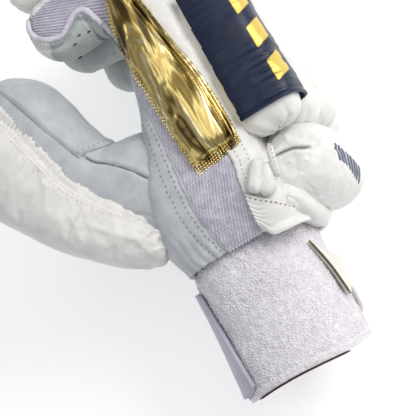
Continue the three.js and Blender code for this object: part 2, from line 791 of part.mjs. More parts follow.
// The strap goes round the little-finger side of the band, from a narrow slanted tab on the back
// to a wide end that is cut at a slant on the thumb side.
const strapRows = [
  { at: 0, turn: -21, skew: 18, wide: 0, drop: 1 },
  { at: 0.1, turn: -5, skew: 10, wide: -0.45, drop: 3.4 },
  { at: 0.3, turn: 34, skew: 0, wide: 0.25, drop: 2.5 },
  { at: 0.5, turn: 82, skew: 0, wide: 0.85, drop: 0.6 },
  { at: 0.75, turn: 148, skew: 4, wide: 1.02, drop: 0 },
  { at: 1, turn: 214, skew: 24, wide: 1.1, drop: 0 },
];
const strapSteps = 22;

function strapRing(at) {
  const turn = column(strapRows, "turn", at);
  const skew = column(strapRows, "skew", at);
  const long = mix(strapTabLong, strapLong, column(strapRows, "wide", at));
  const start = wristY - strapStart - strapTabDrop * column(strapRows, "drop", at);
  const place = (down, out) => {
    const angle = THREE.MathUtils.degToRad(turn + skew * down);
    const { point, waist } = bandFrame(start - down * long);
    const stand = strapStand + out + strapFlare * down * ease(0.7, 1, at);
    const corner = point
      .addScaledVector(X, bow(Math.cos(angle), 2.3) * ((bandThick / 2) * waist + stand))
      .addScaledVector(Z, -bow(Math.sin(angle), 2.3) * ((bandWide / 2) * waist + stand));
    return slanted(corner);
  };
  const [inside, outside] = [
    [0, 0.5, 1],
    [1, 0.5, 0],
  ];
  return [...inside.map((down) => place(down, 0)), ...outside.map((down) => place(down, strapThick))];
}

const strapRings = Array.from({ length: strapSteps + 1 }, (_, k) => strapRing(k / strapSteps));
const wristStrap = cutBack(skin(strapRings), handClear, wristRollClear, bandClear);

// Finishes, by the colours of the real leather, knit, towelling and foil.
const finish = (color, roughness, metalness = 0) => new THREE.MeshStandardMaterial({ color, roughness, metalness });
const palmLeather = () => finish("#c3c8cc", 0.75);
const whiteLeather = () => finish("#e9e8e4", 0.5);
const whiteKnit = () => finish("#d6d5e2", 0.95);
const towelling = () => finish("#dcdaea", 1);
const darkLeather = () => finish("#141d3c", 0.45);
const goldFoil = () => finish("#c79a34", 0.18, 0.9);
const strapVinyl = () => finish("#d9d5dd", 0.6);

const glove = new THREE.Group();

function add(name, solid, material) {
  const { vertProperties, triVerts } = solid.getMesh();
  const geometry = new THREE.BufferGeometry();
  geometry.setAttribute("position", new THREE.BufferAttribute(new Float32Array(vertProperties), 3));
  geometry.setIndex(new THREE.BufferAttribute(new Uint32Array(triVerts), 1));
  geometry.computeVertexNormals();
  const mesh = new THREE.Mesh(geometry, material);
  mesh.name = name;
  glove.add(mesh);
}

add("palm", palm, palmLeather());
add("back_panel", backPanel, whiteLeather());
add("side_gusset", sideGusset, whiteKnit());
["index", "middle", "ring", "little"].forEach((name) => add(`${name}_stall`, stalls[name], palmLeather()));
add("index_gusset", indexGusset, whiteKnit());
add("thumb_stall", thumbStall, palmLeather());
add("thumb_patch", thumbPatch, palmLeather());
add("thumb_guard", thumbGuard, whiteLeather());
rolls.forEach(([name, solid]) => add(name, solid, whiteLeather()));
add("index_sleeve", indexSleeve, darkLeather());
add("side_bar", sideBar, goldFoil());
add("bolster", bolster, whiteLeather());
add("wrist_roll", wristRoll, whiteLeather());
puffs.forEach((solid, place) => add(`side_puff_${place + 1}`, solid, whiteLeather()));
add("back_flap", backFlap, whiteLeather());
add("wristband", wristband, towelling());
add("cuff_hem", cuffHem, whiteKnit());
add("wrist_strap", wristStrap, strapVinyl());

// The part's origin is the middle of the ground that the glove lies on.
const box = new THREE.Box3().setFromObject(glove);
glove.position.set(-(box.min.x + box.max.x) / 2, -(box.min.y + box.max.y) / 2, -box.min.z);

export default glove;
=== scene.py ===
# %% [markdown]
# # A cricket batting glove
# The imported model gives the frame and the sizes. Each soft piece is rebuilt here from smooth sections,
# with its folds, gathers, ribs and stitches. Lengths in the tables are millimetres, as in the model's
# own sections; `ORIGIN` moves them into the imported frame, and the meshes are in metres.

import itertools
import math

import bpy
import numpy as np
from mathutils import Matrix, Vector


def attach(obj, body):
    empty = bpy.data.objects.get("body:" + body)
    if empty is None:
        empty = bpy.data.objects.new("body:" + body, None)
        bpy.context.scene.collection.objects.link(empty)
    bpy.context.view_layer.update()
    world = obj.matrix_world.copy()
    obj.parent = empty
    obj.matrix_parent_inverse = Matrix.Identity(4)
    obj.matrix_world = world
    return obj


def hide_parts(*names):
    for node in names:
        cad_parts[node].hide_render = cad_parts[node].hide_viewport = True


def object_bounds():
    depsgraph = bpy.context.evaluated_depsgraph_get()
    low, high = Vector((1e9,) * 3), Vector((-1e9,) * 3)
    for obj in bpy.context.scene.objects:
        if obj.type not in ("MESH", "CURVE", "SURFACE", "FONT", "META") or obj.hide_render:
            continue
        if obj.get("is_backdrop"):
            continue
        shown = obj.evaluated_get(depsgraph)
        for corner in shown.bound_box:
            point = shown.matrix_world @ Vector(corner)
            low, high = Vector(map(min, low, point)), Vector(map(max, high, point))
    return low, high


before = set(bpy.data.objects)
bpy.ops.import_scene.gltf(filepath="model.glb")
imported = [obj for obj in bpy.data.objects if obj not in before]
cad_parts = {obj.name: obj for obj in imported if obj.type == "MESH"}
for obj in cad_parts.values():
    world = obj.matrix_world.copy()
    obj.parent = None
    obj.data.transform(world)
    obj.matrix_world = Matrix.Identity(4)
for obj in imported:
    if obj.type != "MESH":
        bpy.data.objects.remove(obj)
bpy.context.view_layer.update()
ORIGIN = np.array([5.742, -22.607, -0.8])
FINE = 0.92
X, Y, Z = np.eye(3)
print("nodes in the frame:", len(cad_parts))

# %% [markdown]
# ## Curves and sections
# A table holds columns of numbers; `curve` runs smoothly through one column. `ovals` makes rounded
# sections round a line of points, and `noise` gives the folds their chance shapes.

# %% Curves, noise and sections
def ease(low, high, value):
    share = np.clip((np.asarray(value, float) - low) / (high - low), 0, 1)
    return share * share * (3 - 2 * share)


def bump(middle, width, value):
    return np.exp(-(((np.asarray(value, float) - middle) / width) ** 2))


def curve(table, name, at):
    x, y = np.array(table["at"], float), np.array(table[name], float)
    m = np.empty_like(y)
    m[1:-1] = (y[2:] - y[:-2]) / (x[2:] - x[:-2])
    m[0], m[-1] = (y[1] - y[0]) / (x[1] - x[0]), (y[-1] - y[-2]) / (x[-1] - x[-2])
    at = np.clip(at, x[0], x[-1])
    k = np.clip(np.searchsorted(x, at, side="right") - 1, 0, len(x) - 2)
    h = x[k + 1] - x[k]
    t = (at - x[k]) / h
    return (
        (2 * t**3 - 3 * t**2 + 1) * y[k]
        + (t**3 - 2 * t**2 + t) * m[k] * h
        + (3 * t**2 - 2 * t**3) * y[k + 1]
        + (t**3 - t**2) * m[k + 1] * h
    )


HASH = np.array([73856093, 19349663, 83492791])


def noise(points, cell, seed=0):
    p = np.asarray(points, float) / cell + 31.7 * seed
    base = np.floor(p).astype(np.int64)
    f = p - base
    w = f * f * f * (f * (f * 6 - 15) + 10)
    total = np.zeros(p.shape[:-1])
    for corner in itertools.product((0, 1), repeat=3):
        c = (base + np.array(corner)) * HASH
        h = c[..., 0] ^ c[..., 1] ^ c[..., 2] ^ (seed * 26544357)
        h = ((h ^ (h >> 13)) * 1274126177) & 0x7FFFFFFF
        value = ((h ^ (h >> 16)) & 0xFFFF) / 32767.5 - 1
        total += value * np.prod(np.where(corner, w, 1 - w), axis=-1)
    return total


def folds(points, cell, seed=0):
    return 1 - 2 * np.abs(noise(points, cell, seed))


def bow(value, power):
    return np.sign(value) * np.abs(value) ** (2 / power)


def round_turn(count):
    return np.linspace(0, 2 * math.pi, count, endpoint=False)[None]


def ovals(point, out, side, far, near, half, power=2.4, around=96, turn=None):
    turn = round_turn(around) if turn is None else turn
    far, near, half = (np.broadcast_to(v, len(point))[:, None, None] for v in (far, near, half))
    out, side = (np.broadcast_to(v, point.shape)[:, None] for v in (out, side))
    c, s = bow(np.cos(turn), power)[..., None], bow(np.sin(turn), power)[..., None]
    return point[:, None] + out * ((far - near) / 2 + c * (far + near) / 2) + side * (s * half)


def stretch(count):
    return max(8, int(count * FINE))


def lengths(path):
    return np.concatenate([[0], np.cumsum(np.linalg.norm(np.diff(path, axis=0), axis=1))])


def at_lengths(path, at):
    run = lengths(path)
    return np.stack([np.interp(at, run, path[:, k]) for k in range(3)], axis=1)


def resampled(path, step=0.8):
    path = np.asarray(path, float)
    long = lengths(path)[-1]
    return at_lengths(path, np.linspace(0, long, max(4, int(long / step))))


def near_line(grid, points, width):
    best = np.full(grid.shape[:2], np.inf)
    for p in resampled(points, 0.6):
        best = np.minimum(best, np.linalg.norm(grid - p, axis=-1))
    return bump(0, width, best)


def smooth_line(points, count=80):
    points = np.asarray(points, float)
    at = np.arange(len(points), dtype=float)
    places = np.linspace(0, len(points) - 1, count)
    table = {"at": at, **{str(k): points[:, k] for k in range(points.shape[1])}}
    return np.stack([curve(table, str(k), places) for k in range(points.shape[1])], axis=1)


# %% [markdown]
# ## Meshes from grids
# A grid of points becomes a mesh with a UV map in metres. `raised` moves a grid along its own
# normals, which is how folds, ribs and gathers are made.

# %% Grids to meshes
def normals(grid, closed, middle=None):
    across = np.roll(grid, -1, 1) - np.roll(grid, 1, 1) if closed else np.gradient(grid, axis=1)
    along = np.gradient(grid, axis=0)
    n = np.cross(across, along)
    n /= np.maximum(np.linalg.norm(n, axis=-1, keepdims=True), 1e-9)
    centre = grid.mean(axis=1, keepdims=True) if middle is None else middle
    return n if ((grid - centre) * n).sum() > 0 else -n


def raised(grid, height, closed=True, middle=None):
    return grid + normals(grid, closed, middle) * np.asarray(height)[..., None]


def linked(name, data):
    made = bpy.data.objects.new(name, data)
    bpy.context.scene.collection.objects.link(made)
    return made


def ring_quads(index, closed):
    ahead = np.roll(index, -1, 1) if closed else index[:, 1:]
    here = index if closed else index[:, :-1]
    return np.stack([here[:-1], ahead[:-1], ahead[1:], here[1:]], axis=-1).reshape(-1, 4)


def faces_in(grid, quads, outward):
    a, b, c = (grid.reshape(-1, 3)[quads[:, k]] for k in (0, 1, 2))
    return (np.cross(b - a, c - a) * outward.reshape(-1, 3)[quads[:, 0]]).sum() < 0


def mesh_object(name, points, faces, material, uv=None, values=None):
    mesh = bpy.data.meshes.new(name)
    points = np.maximum(points, [-np.inf, -np.inf, -ORIGIN[2]])
    mesh.from_pydata(((points + ORIGIN) / 1000).tolist(), [], faces)
    if uv is not None:
        mesh.uv_layers.new(name="surface").data.foreach_set("uv", (np.asarray(uv) / 1000).astype(np.float32).ravel())
    for key, data in (values or {}).items():
        mesh.attributes.new(key, "FLOAT", "POINT").data.foreach_set("value", np.asarray(data, np.float32).ravel())
    mesh.materials.append(material)
    mesh.polygons.foreach_set("use_smooth", [True] * len(mesh.polygons))
    mesh.update()
    return linked(name, mesh)


def grid_object(name, grid, material, closed=True, caps=(False, False), keep=None, values=None, middle=None):
    rows, columns = grid.shape[:2]
    index = np.arange(rows * columns).reshape(rows, columns)
    quads = ring_quads(index, closed)
    step_u = np.linalg.norm(np.diff(grid, axis=1), axis=-1).mean(axis=0)
    u = np.concatenate([[0], np.cumsum(step_u)])
    if closed:
        u = np.append(u, u[-1] + step_u.mean())
    v = np.concatenate([[0], np.cumsum(np.linalg.norm(np.diff(grid, axis=0), axis=-1).mean(axis=1))])
    row, column = np.meshgrid(np.arange(rows - 1), np.arange(len(u) - 1), indexing="ij")
    corners = ((0, 0), (1, 0), (1, 1), (0, 1))
    uv = np.stack([np.stack([u[column + a], v[row + b]], -1) for a, b in corners], axis=2).reshape(-1, 4, 2)
    if keep is not None:
        inside = keep.reshape(-1)[quads].mean(axis=1) >= 0.5
        quads, uv = quads[inside], uv[inside]
    turned = faces_in(grid, quads, normals(grid, closed, middle))
    if turned:
        quads, uv = quads[:, ::-1], uv[:, ::-1]
    faces, points, uv = quads.tolist(), grid.reshape(-1, 3), uv.reshape(-1, 2)
    for end in (k for k in (0, 1) if caps[k]):
        ring = index[-end].tolist()
        for one, two in zip(ring, ring[1:] + ring[:1]):
            faces.append((len(points), two, one) if (end == 0) != turned else (len(points), one, two))
        points = np.vstack([points, grid[-end].mean(axis=0)])
        uv = np.vstack([uv, np.zeros((3 * columns, 2))])
    return mesh_object(name, points, faces, material, uv, values)


def thicken(piece, thick):
    wall = piece.modifiers.new("wall", "SOLIDIFY")
    wall.thickness, wall.offset, wall.use_even_offset = thick / 1000, -1, False
    return piece


def belongs(piece, slot, *nodes, fill=None):
    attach(piece, "root")
    if nodes:
        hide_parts(*nodes)
    return piece


def sheet(name, grid, material, thick, slot, *nodes, closed=True, **options):
    return belongs(thicken(grid_object(name, grid, material, closed, **options), thick), slot, *nodes)


def pad(name, grid, material, slot, node, fill=0.8):
    return belongs(grid_object(name, grid, material, caps=(True, True)), slot, node, fill=fill)


# %% [markdown]
# ## Padding
# A coarse copy of a padded piece is blown up as cloth, held at its seams. How far each point rises or
# falls against the median, up to a cap, is added to the fine grid, so the piece keeps its size.

# %% Cloth under pressure
def spread(values, rows, columns, shape):
    tall = np.stack([np.interp(np.arange(shape[0]), rows, values[:, k]) for k in range(values.shape[1])], axis=1)
    wrapped, places = np.column_stack([tall, tall[:, 0]]), np.append(columns, shape[1])
    return np.stack([np.interp(np.arange(shape[1]), places, line) for line in wrapped])


def blown_up(grid, held, cap, pressure=4.0, step=3, slack=0.06, frames=20):
    rows = np.unique(np.append(np.arange(0, len(grid), step), len(grid) - 1))
    columns = np.arange(0, grid.shape[1] - 1, step)
    coarse = grid[rows][:, columns]
    index = np.arange(coarse.size // 3).reshape(coarse.shape[:2])
    quads, outward = ring_quads(index, True), normals(coarse, True)
    faces = quads.tolist() + [index[0][::-1].tolist(), index[-1].tolist()]
    if faces_in(coarse, quads, outward):
        faces = [face[::-1] for face in faces]
    mesh = bpy.data.meshes.new("cloth")
    mesh.from_pydata((coarse.reshape(-1, 3) / 1000).tolist(), [], faces)
    blown = linked("cloth", mesh)
    pins = blown.vertex_groups.new(name="held")
    pins.add([int(k) for k in index[held[rows][:, columns]]], 1.0, "REPLACE")
    cloth_sim = blown.modifiers.new("cloth", "CLOTH")
    cloth_sim.point_cache.frame_start, cloth_sim.point_cache.frame_end = 1, frames
    settings = cloth_sim.settings
    settings.quality, settings.mass, settings.vertex_group_mass = 6, 0.15, "held"
    settings.use_pressure, settings.uniform_pressure_force = True, pressure
    settings.shrink_min, settings.effector_weights.gravity = -slack, 0.0
    cloth_sim.collision_settings.use_collision = False
    for number in range(1, frames + 1):
        bpy.context.scene.frame_set(number)
    made = blown.evaluated_get(bpy.context.evaluated_depsgraph_get()).to_mesh()
    moved = np.zeros(len(made.vertices) * 3)
    made.vertices.foreach_get("co", moved)
    bpy.context.scene.frame_set(1)
    bpy.data.objects.remove(blown)
    lift = ((moved.reshape(coarse.shape) * 1000 - coarse) * outward).sum(axis=-1)
    lift = np.where(np.isfinite(lift), lift, 0)
    print("cloth lift from", round(float(lift.min()), 2), "to", round(float(lift.max()), 2), "mm")
    lift = cap * np.tanh((lift - np.median(lift)) / cap)
    return spread(lift, rows, columns, grid.shape[:2])


# %% [markdown]
# ## Materials
# Leather is fine-grained and matte, the knit and the towelling scatter light like cloth, and the bar
# is foil on synthetic leather. Pattern sizes are the real ones, read from object coordinates.

# %% Material helpers
def linear(code, alpha=1.0):
    channels = [int(code[k : k + 2], 16) / 255 for k in (1, 3, 5)]
    return (*[c / 12.92 if c <= 0.04045 else ((c + 0.055) / 1.055) ** 2.4 for c in channels], alpha)


def add(tree, kind, inputs=None, **settings):
    node = tree.nodes.new(kind)
    for key, value in settings.items():
        setattr(node, key, value)
    for key, value in (inputs or {}).items():
        if isinstance(value, bpy.types.NodeSocket):
            tree.links.new(value, node.inputs[key])
        else:
            node.inputs[key].default_value = value
    return node


def start_material(name, roughness, **constants):
    material = bpy.data.materials.new(name)
    material.use_nodes = True
    tree = material.node_tree
    shader = tree.nodes["Principled BSDF"]
    shader.inputs["Roughness"].default_value = roughness
    for key, value in constants.items():
        shader.inputs[key.replace("_", " ")].default_value = value
    return material, tree, shader


def blend_colours(tree, factor, dark, light):
    mixer = add(tree, "ShaderNodeMix", {"Factor": factor, 6: dark, 7: light}, data_type="RGBA")
    return mixer.outputs[2]


def object_place(tree):
    return add(tree, "ShaderNodeTexCoord").outputs["Object"]


def bumps(tree, height, strength, depth, under=None):
    inputs = {"Height": height, "Strength": strength, "Distance": depth / 1000}
    inputs.update({} if under is None else {"Normal": under})
    return add(tree, "ShaderNodeBump", inputs).outputs["Normal"]


def leather(name, light, dark, roughness=0.55, grain=0.9, depth=0.05, crease=0.12, **constants):
    material, tree, shader = start_material(name, roughness, **constants)
    place = object_place(tree)
    cells = add(tree, "ShaderNodeTexVoronoi", {"Vector": place, "Scale": 1000 / grain}, feature="F1")
    soft = add(tree, "ShaderNodeTexNoise", {"Vector": place, "Scale": 140.0, "Detail": 4.0, "Roughness": 0.6})
    fine = add(tree, "ShaderNodeTexNoise", {"Vector": place, "Scale": 900.0, "Detail": 3.0})
    tint = add(tree, "ShaderNodeMapRange", {"Value": soft.outputs["Fac"], "From Min": 0.3, "From Max": 0.7})
    colour = blend_colours(tree, tint.outputs["Result"], linear(dark), linear(light))
    tree.links.new(colour, shader.inputs["Base Color"])
    ends = {"To Min": roughness - 0.07, "To Max": roughness + 0.07}
    rough = add(tree, "ShaderNodeMapRange", {"Value": fine.outputs["Fac"], **ends})
    tree.links.new(rough.outputs["Result"], shader.inputs["Roughness"])
    grained = bumps(tree, cells.outputs["Distance"], 0.35, depth)
    tree.links.new(bumps(tree, soft.outputs["Fac"], 0.6, crease, grained), shader.inputs["Normal"])
    return material


def cloth(name, light, dark, scale, depth, **constants):
    material, tree, shader = start_material(name, 0.92, **constants)
    place = object_place(tree)
    # The attribute read here darkens the cloth's colour. On the knits it is painted shade in grooves and hollows. On
    # the towelling it is painted shade where the band meets the hand, together with a random tone, and on the
    # binding it is an even tone.
    shade_and_tone = add(tree, "ShaderNodeAttribute", attribute_name="shade_and_tone")
    weave = add(tree, "ShaderNodeTexVoronoi", {"Vector": place, "Scale": 1000 / scale}, feature="F1")
    soft = add(tree, "ShaderNodeTexNoise", {"Vector": place, "Scale": 260.0, "Detail": 5.0, "Roughness": 0.65})
    limits = {"From Min": 0.3, "From Max": 0.7, "To Min": 0.35}
    speck = add(tree, "ShaderNodeMapRange", {"Value": soft.outputs["Fac"], **limits})
    levels = {0: speck.outputs["Result"], 1: shade_and_tone.outputs["Fac"]}
    deep = add(tree, "ShaderNodeMath", levels, operation="SUBTRACT", use_clamp=True)
    colour = blend_colours(tree, deep.outputs[0], linear(dark), linear(light))
    tree.links.new(colour, shader.inputs["Base Color"])
    woven = bumps(tree, weave.outputs["Distance"], 0.8, depth)
    tree.links.new(bumps(tree, soft.outputs["Fac"], 0.5, 2 * depth, woven), shader.inputs["Normal"])
    return material


def foil(name, colour, shade, roughness):
    material, tree, shader = start_material(name, roughness, Metallic=1.0, Coat_Weight=0.5, Coat_Roughness=0.05)
    place = object_place(tree)
    drawn = add(tree, "ShaderNodeMapping", {"Vector": place, "Scale": (1.0, 0.22, 0.8)})
    waves = {"Scale": 130.0, "Detail": 2.5, "Distortion": 0.9}
    wide = add(tree, "ShaderNodeTexNoise", {"Vector": drawn.outputs[0], **waves})
    fine = add(tree, "ShaderNodeTexNoise", {"Vector": place, "Scale": 420.0, "Detail": 3.0})
    # The base colour is painted reflections: dark brown streaks, gold and pale highlights, stretched along the bar.
    painted_reflections = add(tree, "ShaderNodeValToRGB", {"Fac": wide.outputs["Fac"]})
    steps = ((0.3, shade), (0.41, "#8b7434"), (0.47, colour), (0.54, "#bda257"), (0.6, "#f2e6b4"), (0.7, colour))
    for place_at, tone in steps[1:-1]:
        painted_reflections.color_ramp.elements.new(place_at)
    for element, (place_at, tone) in zip(painted_reflections.color_ramp.elements, steps):
        element.position, element.color = place_at, linear(tone)
    tree.links.new(painted_reflections.outputs["Color"], shader.inputs["Base Color"])
    waved = bumps(tree, wide.outputs["Fac"], 0.4, 1.2)
    tree.links.new(bumps(tree, fine.outputs["Fac"], 0.3, 0.08, waved), shader.inputs["Normal"])
    return material


def plain(name, colour, roughness, **constants):
    material, tree, shader = start_material(name, roughness, **constants)
    shader.inputs["Base Color"].default_value = linear(colour)
    return material


palm_leather = leather("palm sheepskin", "#c4c8cb", "#aeb3b8", 0.6, 0.8, 0.05, 0.22, Sheen_Weight=0.15)
finger_leather = leather("finger sheepskin", "#bec4c2", "#a7aeae", 0.55, 0.8, 0.05, 0.2, Sheen_Weight=0.1)
coat = {"Coat_Weight": 0.08, "Coat_Roughness": 0.35}
white_leather = leather("white leather", "#ecebe8", "#dddcd8", 0.5, 0.7, 0.03, 0.12, **coat)
guard_leather = leather("thumb guard leather", "#e9e7e3", "#d8d6d3", 0.55, 0.8, 0.05, 0.2, Sheen_Weight=0.1)
navy_leather = leather("navy coated leather", "#10203f", "#0a1630", 0.42, 0.6, 0.03, 0.22, Specular_IOR_Level=0.42)
white_knit = cloth("ribbed white knit", "#e4e1ea", "#a7a3b5", 0.75, 0.12, Sheen_Weight=0.3)
towel = cloth("white towelling", "#efecee", "#d4d0da", 0.8, 0.2, Sheen_Weight=0.5)
# The strap's lavender grey is painted shade on the pale vinyl of the tab.
shaded_strap_vinyl = leather("coated strap in painted shade", "#bdbac8", "#adaaba", 0.5, 1.0, 0.02, 0.1)
tab_vinyl = plain("tab vinyl", "#e0dcd3", 0.45)
# The foil's colour ramp is painted reflections.
gold_foil = foil("gold foil with painted reflections", "#e3cd86", "#4d4020", 0.16)
thread = plain("white thread", "#e4e2e0", 0.7)
grey_thread = plain("grey thread", "#8f8d98", 0.75)
# The seam cords' dark grey is painted shade in the seam grooves.
seam_shade = plain("painted seam shade", "#7d7b80", 0.8)
brown_thread = plain("brown thread", "#8a7a6c", 0.8)
dark_gap = plain("shaded inside", "#17151c", 0.9)
red_binding = plain("dark red binding", "#3a0c12", 0.7)
print("materials:", len(bpy.data.materials))

# %% [markdown]
# ## Repeated things
# Stitches, beads, gathers and towelling loops are instances that Geometry Nodes set along paths or
# over faces. Each tree has named inputs and a fixed seed, and what it makes is kept as a plain mesh.

# %% Trees for stitches and loops
def new_tree(name, lengths):
    tree = bpy.data.node_groups.new(name, "GeometryNodeTree")
    kinds = {"Geometry": "Geometry", **dict.fromkeys(lengths, "Float"), "Seed": "Int", "Material": "Material"}
    for label, kind in kinds.items():
        tree.interface.new_socket(name=label, in_out="INPUT", socket_type="NodeSocket" + kind)
    tree.interface.new_socket(name="Geometry", in_out="OUTPUT", socket_type="NodeSocketGeometry")
    return tree, tree.nodes.new("NodeGroupInput").outputs


def close_tree(tree, given, points, ball, rotation, sides, smallest):
    size = add(tree, "ShaderNodeCombineXYZ", dict(zip("XYZ", (given[side] for side in sides))))
    chance = add(tree, "FunctionNodeRandomValue", {2: smallest, 3: 1.0, "Seed": given["Seed"]}, data_type="FLOAT")
    scale = {0: size.outputs[0], "Scale": chance.outputs[1]}
    varied = add(tree, "ShaderNodeVectorMath", scale, operation="SCALE")
    copies = {"Points": points, "Instance": ball.outputs["Mesh"], "Rotation": rotation, "Scale": varied.outputs[0]}
    placed = add(tree, "GeometryNodeInstanceOnPoints", copies)
    solid = add(tree, "GeometryNodeRealizeInstances", {"Geometry": placed.outputs["Instances"]})
    shade = add(tree, "GeometryNodeSetShadeSmooth", {"Geometry": solid.outputs["Geometry"]})
    look = {"Geometry": shade.outputs["Geometry"], "Material": given["Material"]}
    dressed = add(tree, "GeometryNodeSetMaterial", look)
    add(tree, "NodeGroupOutput", {"Geometry": dressed.outputs["Geometry"]})
    return tree


def path_tree():
    tree, given = new_tree("stitches on a path", ("Pitch", "Length", "Thick"))
    line = add(tree, "GeometryNodeMeshToCurve", {"Mesh": given["Geometry"]})
    steps = {"Curve": line.outputs["Curve"], "Length": given["Pitch"]}
    spaced = add(tree, "GeometryNodeResampleCurve", steps, mode="LENGTH")
    ball = add(tree, "GeometryNodeMeshUVSphere", {"Segments": 8, "Rings": 5, "Radius": 0.5})
    tangent = add(tree, "GeometryNodeInputTangent").outputs["Tangent"]
    turn = add(tree, "FunctionNodeAlignRotationToVector", {"Vector": tangent}, axis="X")
    sides = ("Length", "Thick", "Thick")
    return close_tree(tree, given, spaced.outputs["Curve"], ball, turn.outputs["Rotation"], sides, 0.75)


def loop_tree():
    tree, given = new_tree("loops on a cloth", ("Spacing", "Size"))
    chance = {"Distance Min": given["Spacing"], "Density Max": 2.5e6, "Seed": given["Seed"]}
    chance["Mesh"] = given["Geometry"]
    strewn = add(tree, "GeometryNodeDistributePointsOnFaces", chance, distribute_method="POISSON")
    ball = add(tree, "GeometryNodeMeshIcoSphere", {"Radius": 0.5, "Subdivisions": 1})
    points, rotation = strewn.outputs["Points"], strewn.outputs["Rotation"]
    return close_tree(tree, given, points, ball, rotation, ("Size",) * 3, 0.8)


def grown(name, tree, source, **inputs):
    modifier = source.modifiers.new("nodes", "NODES")
    modifier.node_group = tree
    for item in tree.interface.items_tree:
        if item.in_out == "INPUT" and item.name in inputs:
            modifier[item.identifier] = inputs[item.name]
    bpy.context.view_layer.update()
    made = bpy.data.meshes.new_from_object(source.evaluated_get(bpy.context.evaluated_depsgraph_get()))
    bpy.data.objects.remove(source)
    made.name = name
    return linked(name, made)


PATHS, LOOPS, LOOP_SPACING = path_tree(), loop_tree(), 0.00112


def paths_mesh(name, paths):
    points, edges, first = [], [], 0
    for path in paths:
        points.extend(((np.asarray(path) + ORIGIN) / 1000).tolist())
        edges.extend((first + k, first + k + 1) for k in range(len(path) - 1))
        first += len(path)
    mesh = bpy.data.meshes.new(name)
    mesh.from_pydata(points, edges, [])
    return linked(name, mesh)


def stitched(name, paths, slot, material, pitch=2.2, length=1.5, thick=0.5, seed=1):
    sizes = {"Pitch": pitch / 1000, "Length": length / 1000, "Thick": thick / 1000}
    made = grown(name, PATHS, paths_mesh(name + "_path", paths), **sizes, Seed=seed, Material=material)
    return belongs(made, slot)


def looped(name, grid, keep, size, seed):
    cloth_top = grid_object(name + "_source", grid, towel, keep=keep)
    made = grown(name, LOOPS, cloth_top, Spacing=LOOP_SPACING, Size=size / 1000, Seed=seed, Material=towel)
    print(name, len(made.data.polygons), "faces")
    return belongs(made, "towelling")


def frames_along(path):
    path = np.asarray(path, float)
    ahead = np.gradient(path, axis=0)
    ahead /= np.maximum(np.linalg.norm(ahead, axis=1, keepdims=True), 1e-9)
    out = np.cross(ahead, Z)
    small = np.linalg.norm(out, axis=1, keepdims=True) < 0.05
    out = np.where(small, np.cross(ahead, X), out)
    out /= np.linalg.norm(out, axis=1, keepdims=True)
    return path, out, np.cross(out, ahead)


def cord_piece(name, path, radius, slot, material, flat=1.0, wave=0.0, nodes=()):
    path, out, side = frames_along(resampled(path))
    ends = np.clip(np.minimum(np.arange(len(path)), np.arange(len(path))[::-1]) / 3, 0.25, 1) ** 0.5
    grid = ovals(path, out, side, radius * ends, radius * ends, radius * flat * ends, 2.0, 12)
    if wave:
        grid = raised(grid, wave * noise(grid, 1.6, 4))
    return belongs(grid_object(name, grid, material, caps=(True, True)), slot, *nodes)


# %% [markdown]
# ## The fingers
# Each leather stall runs straight from the palm, bends, and ends in a round tip. The index finger's
# upper side is knitted, with a wavy bound edge; creases cross the leather where the joints bend.

# %% Finger frames
HAND_LONG, HAND_THICK, HAND_WIDE, HAND_ARCH = 87, 33, 102, 7
BACK, WRIST_Y, FRONT_SLANT = 41, -27, 17
PALM, HAND_FRONT, MIDDLE_Z = BACK - HAND_THICK, WRIST_Y + HAND_LONG, HAND_WIDE / 2
STALL_WIDE, STALL_THICK, PITCH, REACH, TIP = 24.6, 30, 25.5, 13, 13
ROLL_HIGH, ROLL_WIDE, FINGER_ROLL_HIGH = 31, 24.2, 24
STALL_WALL, KNIT_WALL, HAND_WALL, THUMB_WALL, PATCH_WALL = 2.2, 1.2, 2.4, 2.6, 1.3
STALL_TUCK, FLOOR_GAP = 9, 0.8


def joined(parts):
    return np.concatenate([parts[0], *(part[1:] for part in parts[1:])])


def off_floor(grid):
    grid[..., 2] = np.maximum(grid[..., 2], FLOOR_GAP)
    return grid


def arch_at(z):
    return HAND_ARCH * (1 - np.clip(np.asarray(z) / HAND_WIDE, 0, 1)) ** 2


FINGERS = {
    "little": {"place": 0, "past": -13, "radius": 0.68, "bend": 80, "reach": 0.15, "rise": 1.0, "fall": 0.12},
    "ring": {"place": 1, "past": -2, "radius": 0.7, "bend": 88, "reach": 0.5, "rise": 1.14, "fall": 0.24},
    "middle": {"place": 2, "past": 7.5, "radius": 0.72, "bend": 86, "reach": 1.2, "rise": 1.05, "fall": 0.1},
    "index": {"place": 3, "past": 11, "radius": 0.72, "bend": 92, "reach": 1.1, "rise": 1.0, "fall": 0.08},
}
for finger in FINGERS.values():
    finger["z"] = (finger["place"] + 0.5) * PITCH
    finger["x"] = BACK - 0.5 - STALL_THICK / 2 - float(arch_at(finger["z"]))
    finger["bend_y"] = HAND_FRONT + finger["past"]
    finger["bend_radius"] = finger["radius"] * STALL_THICK
    finger["turn"] = math.radians(finger["bend"])


def finger_frame(finger, run, lift=0.0):
    run = np.asarray(run, float)
    angle = np.clip(run, 0, 1) * finger["turn"]
    out = np.stack([np.cos(angle), np.sin(angle), 0 * angle], axis=-1)
    middle = np.array([finger["x"] - finger["bend_radius"], finger["bend_y"], finger["z"]])
    point = middle + out * (finger["bend_radius"] + lift)
    point = point + Y * (np.minimum(run, 0) * HAND_LONG)[..., None]
    past = np.array([-math.sin(finger["turn"]), math.cos(finger["turn"]), 0]) * REACH
    return point + past * np.maximum(run - 1, 0)[..., None], out, Z


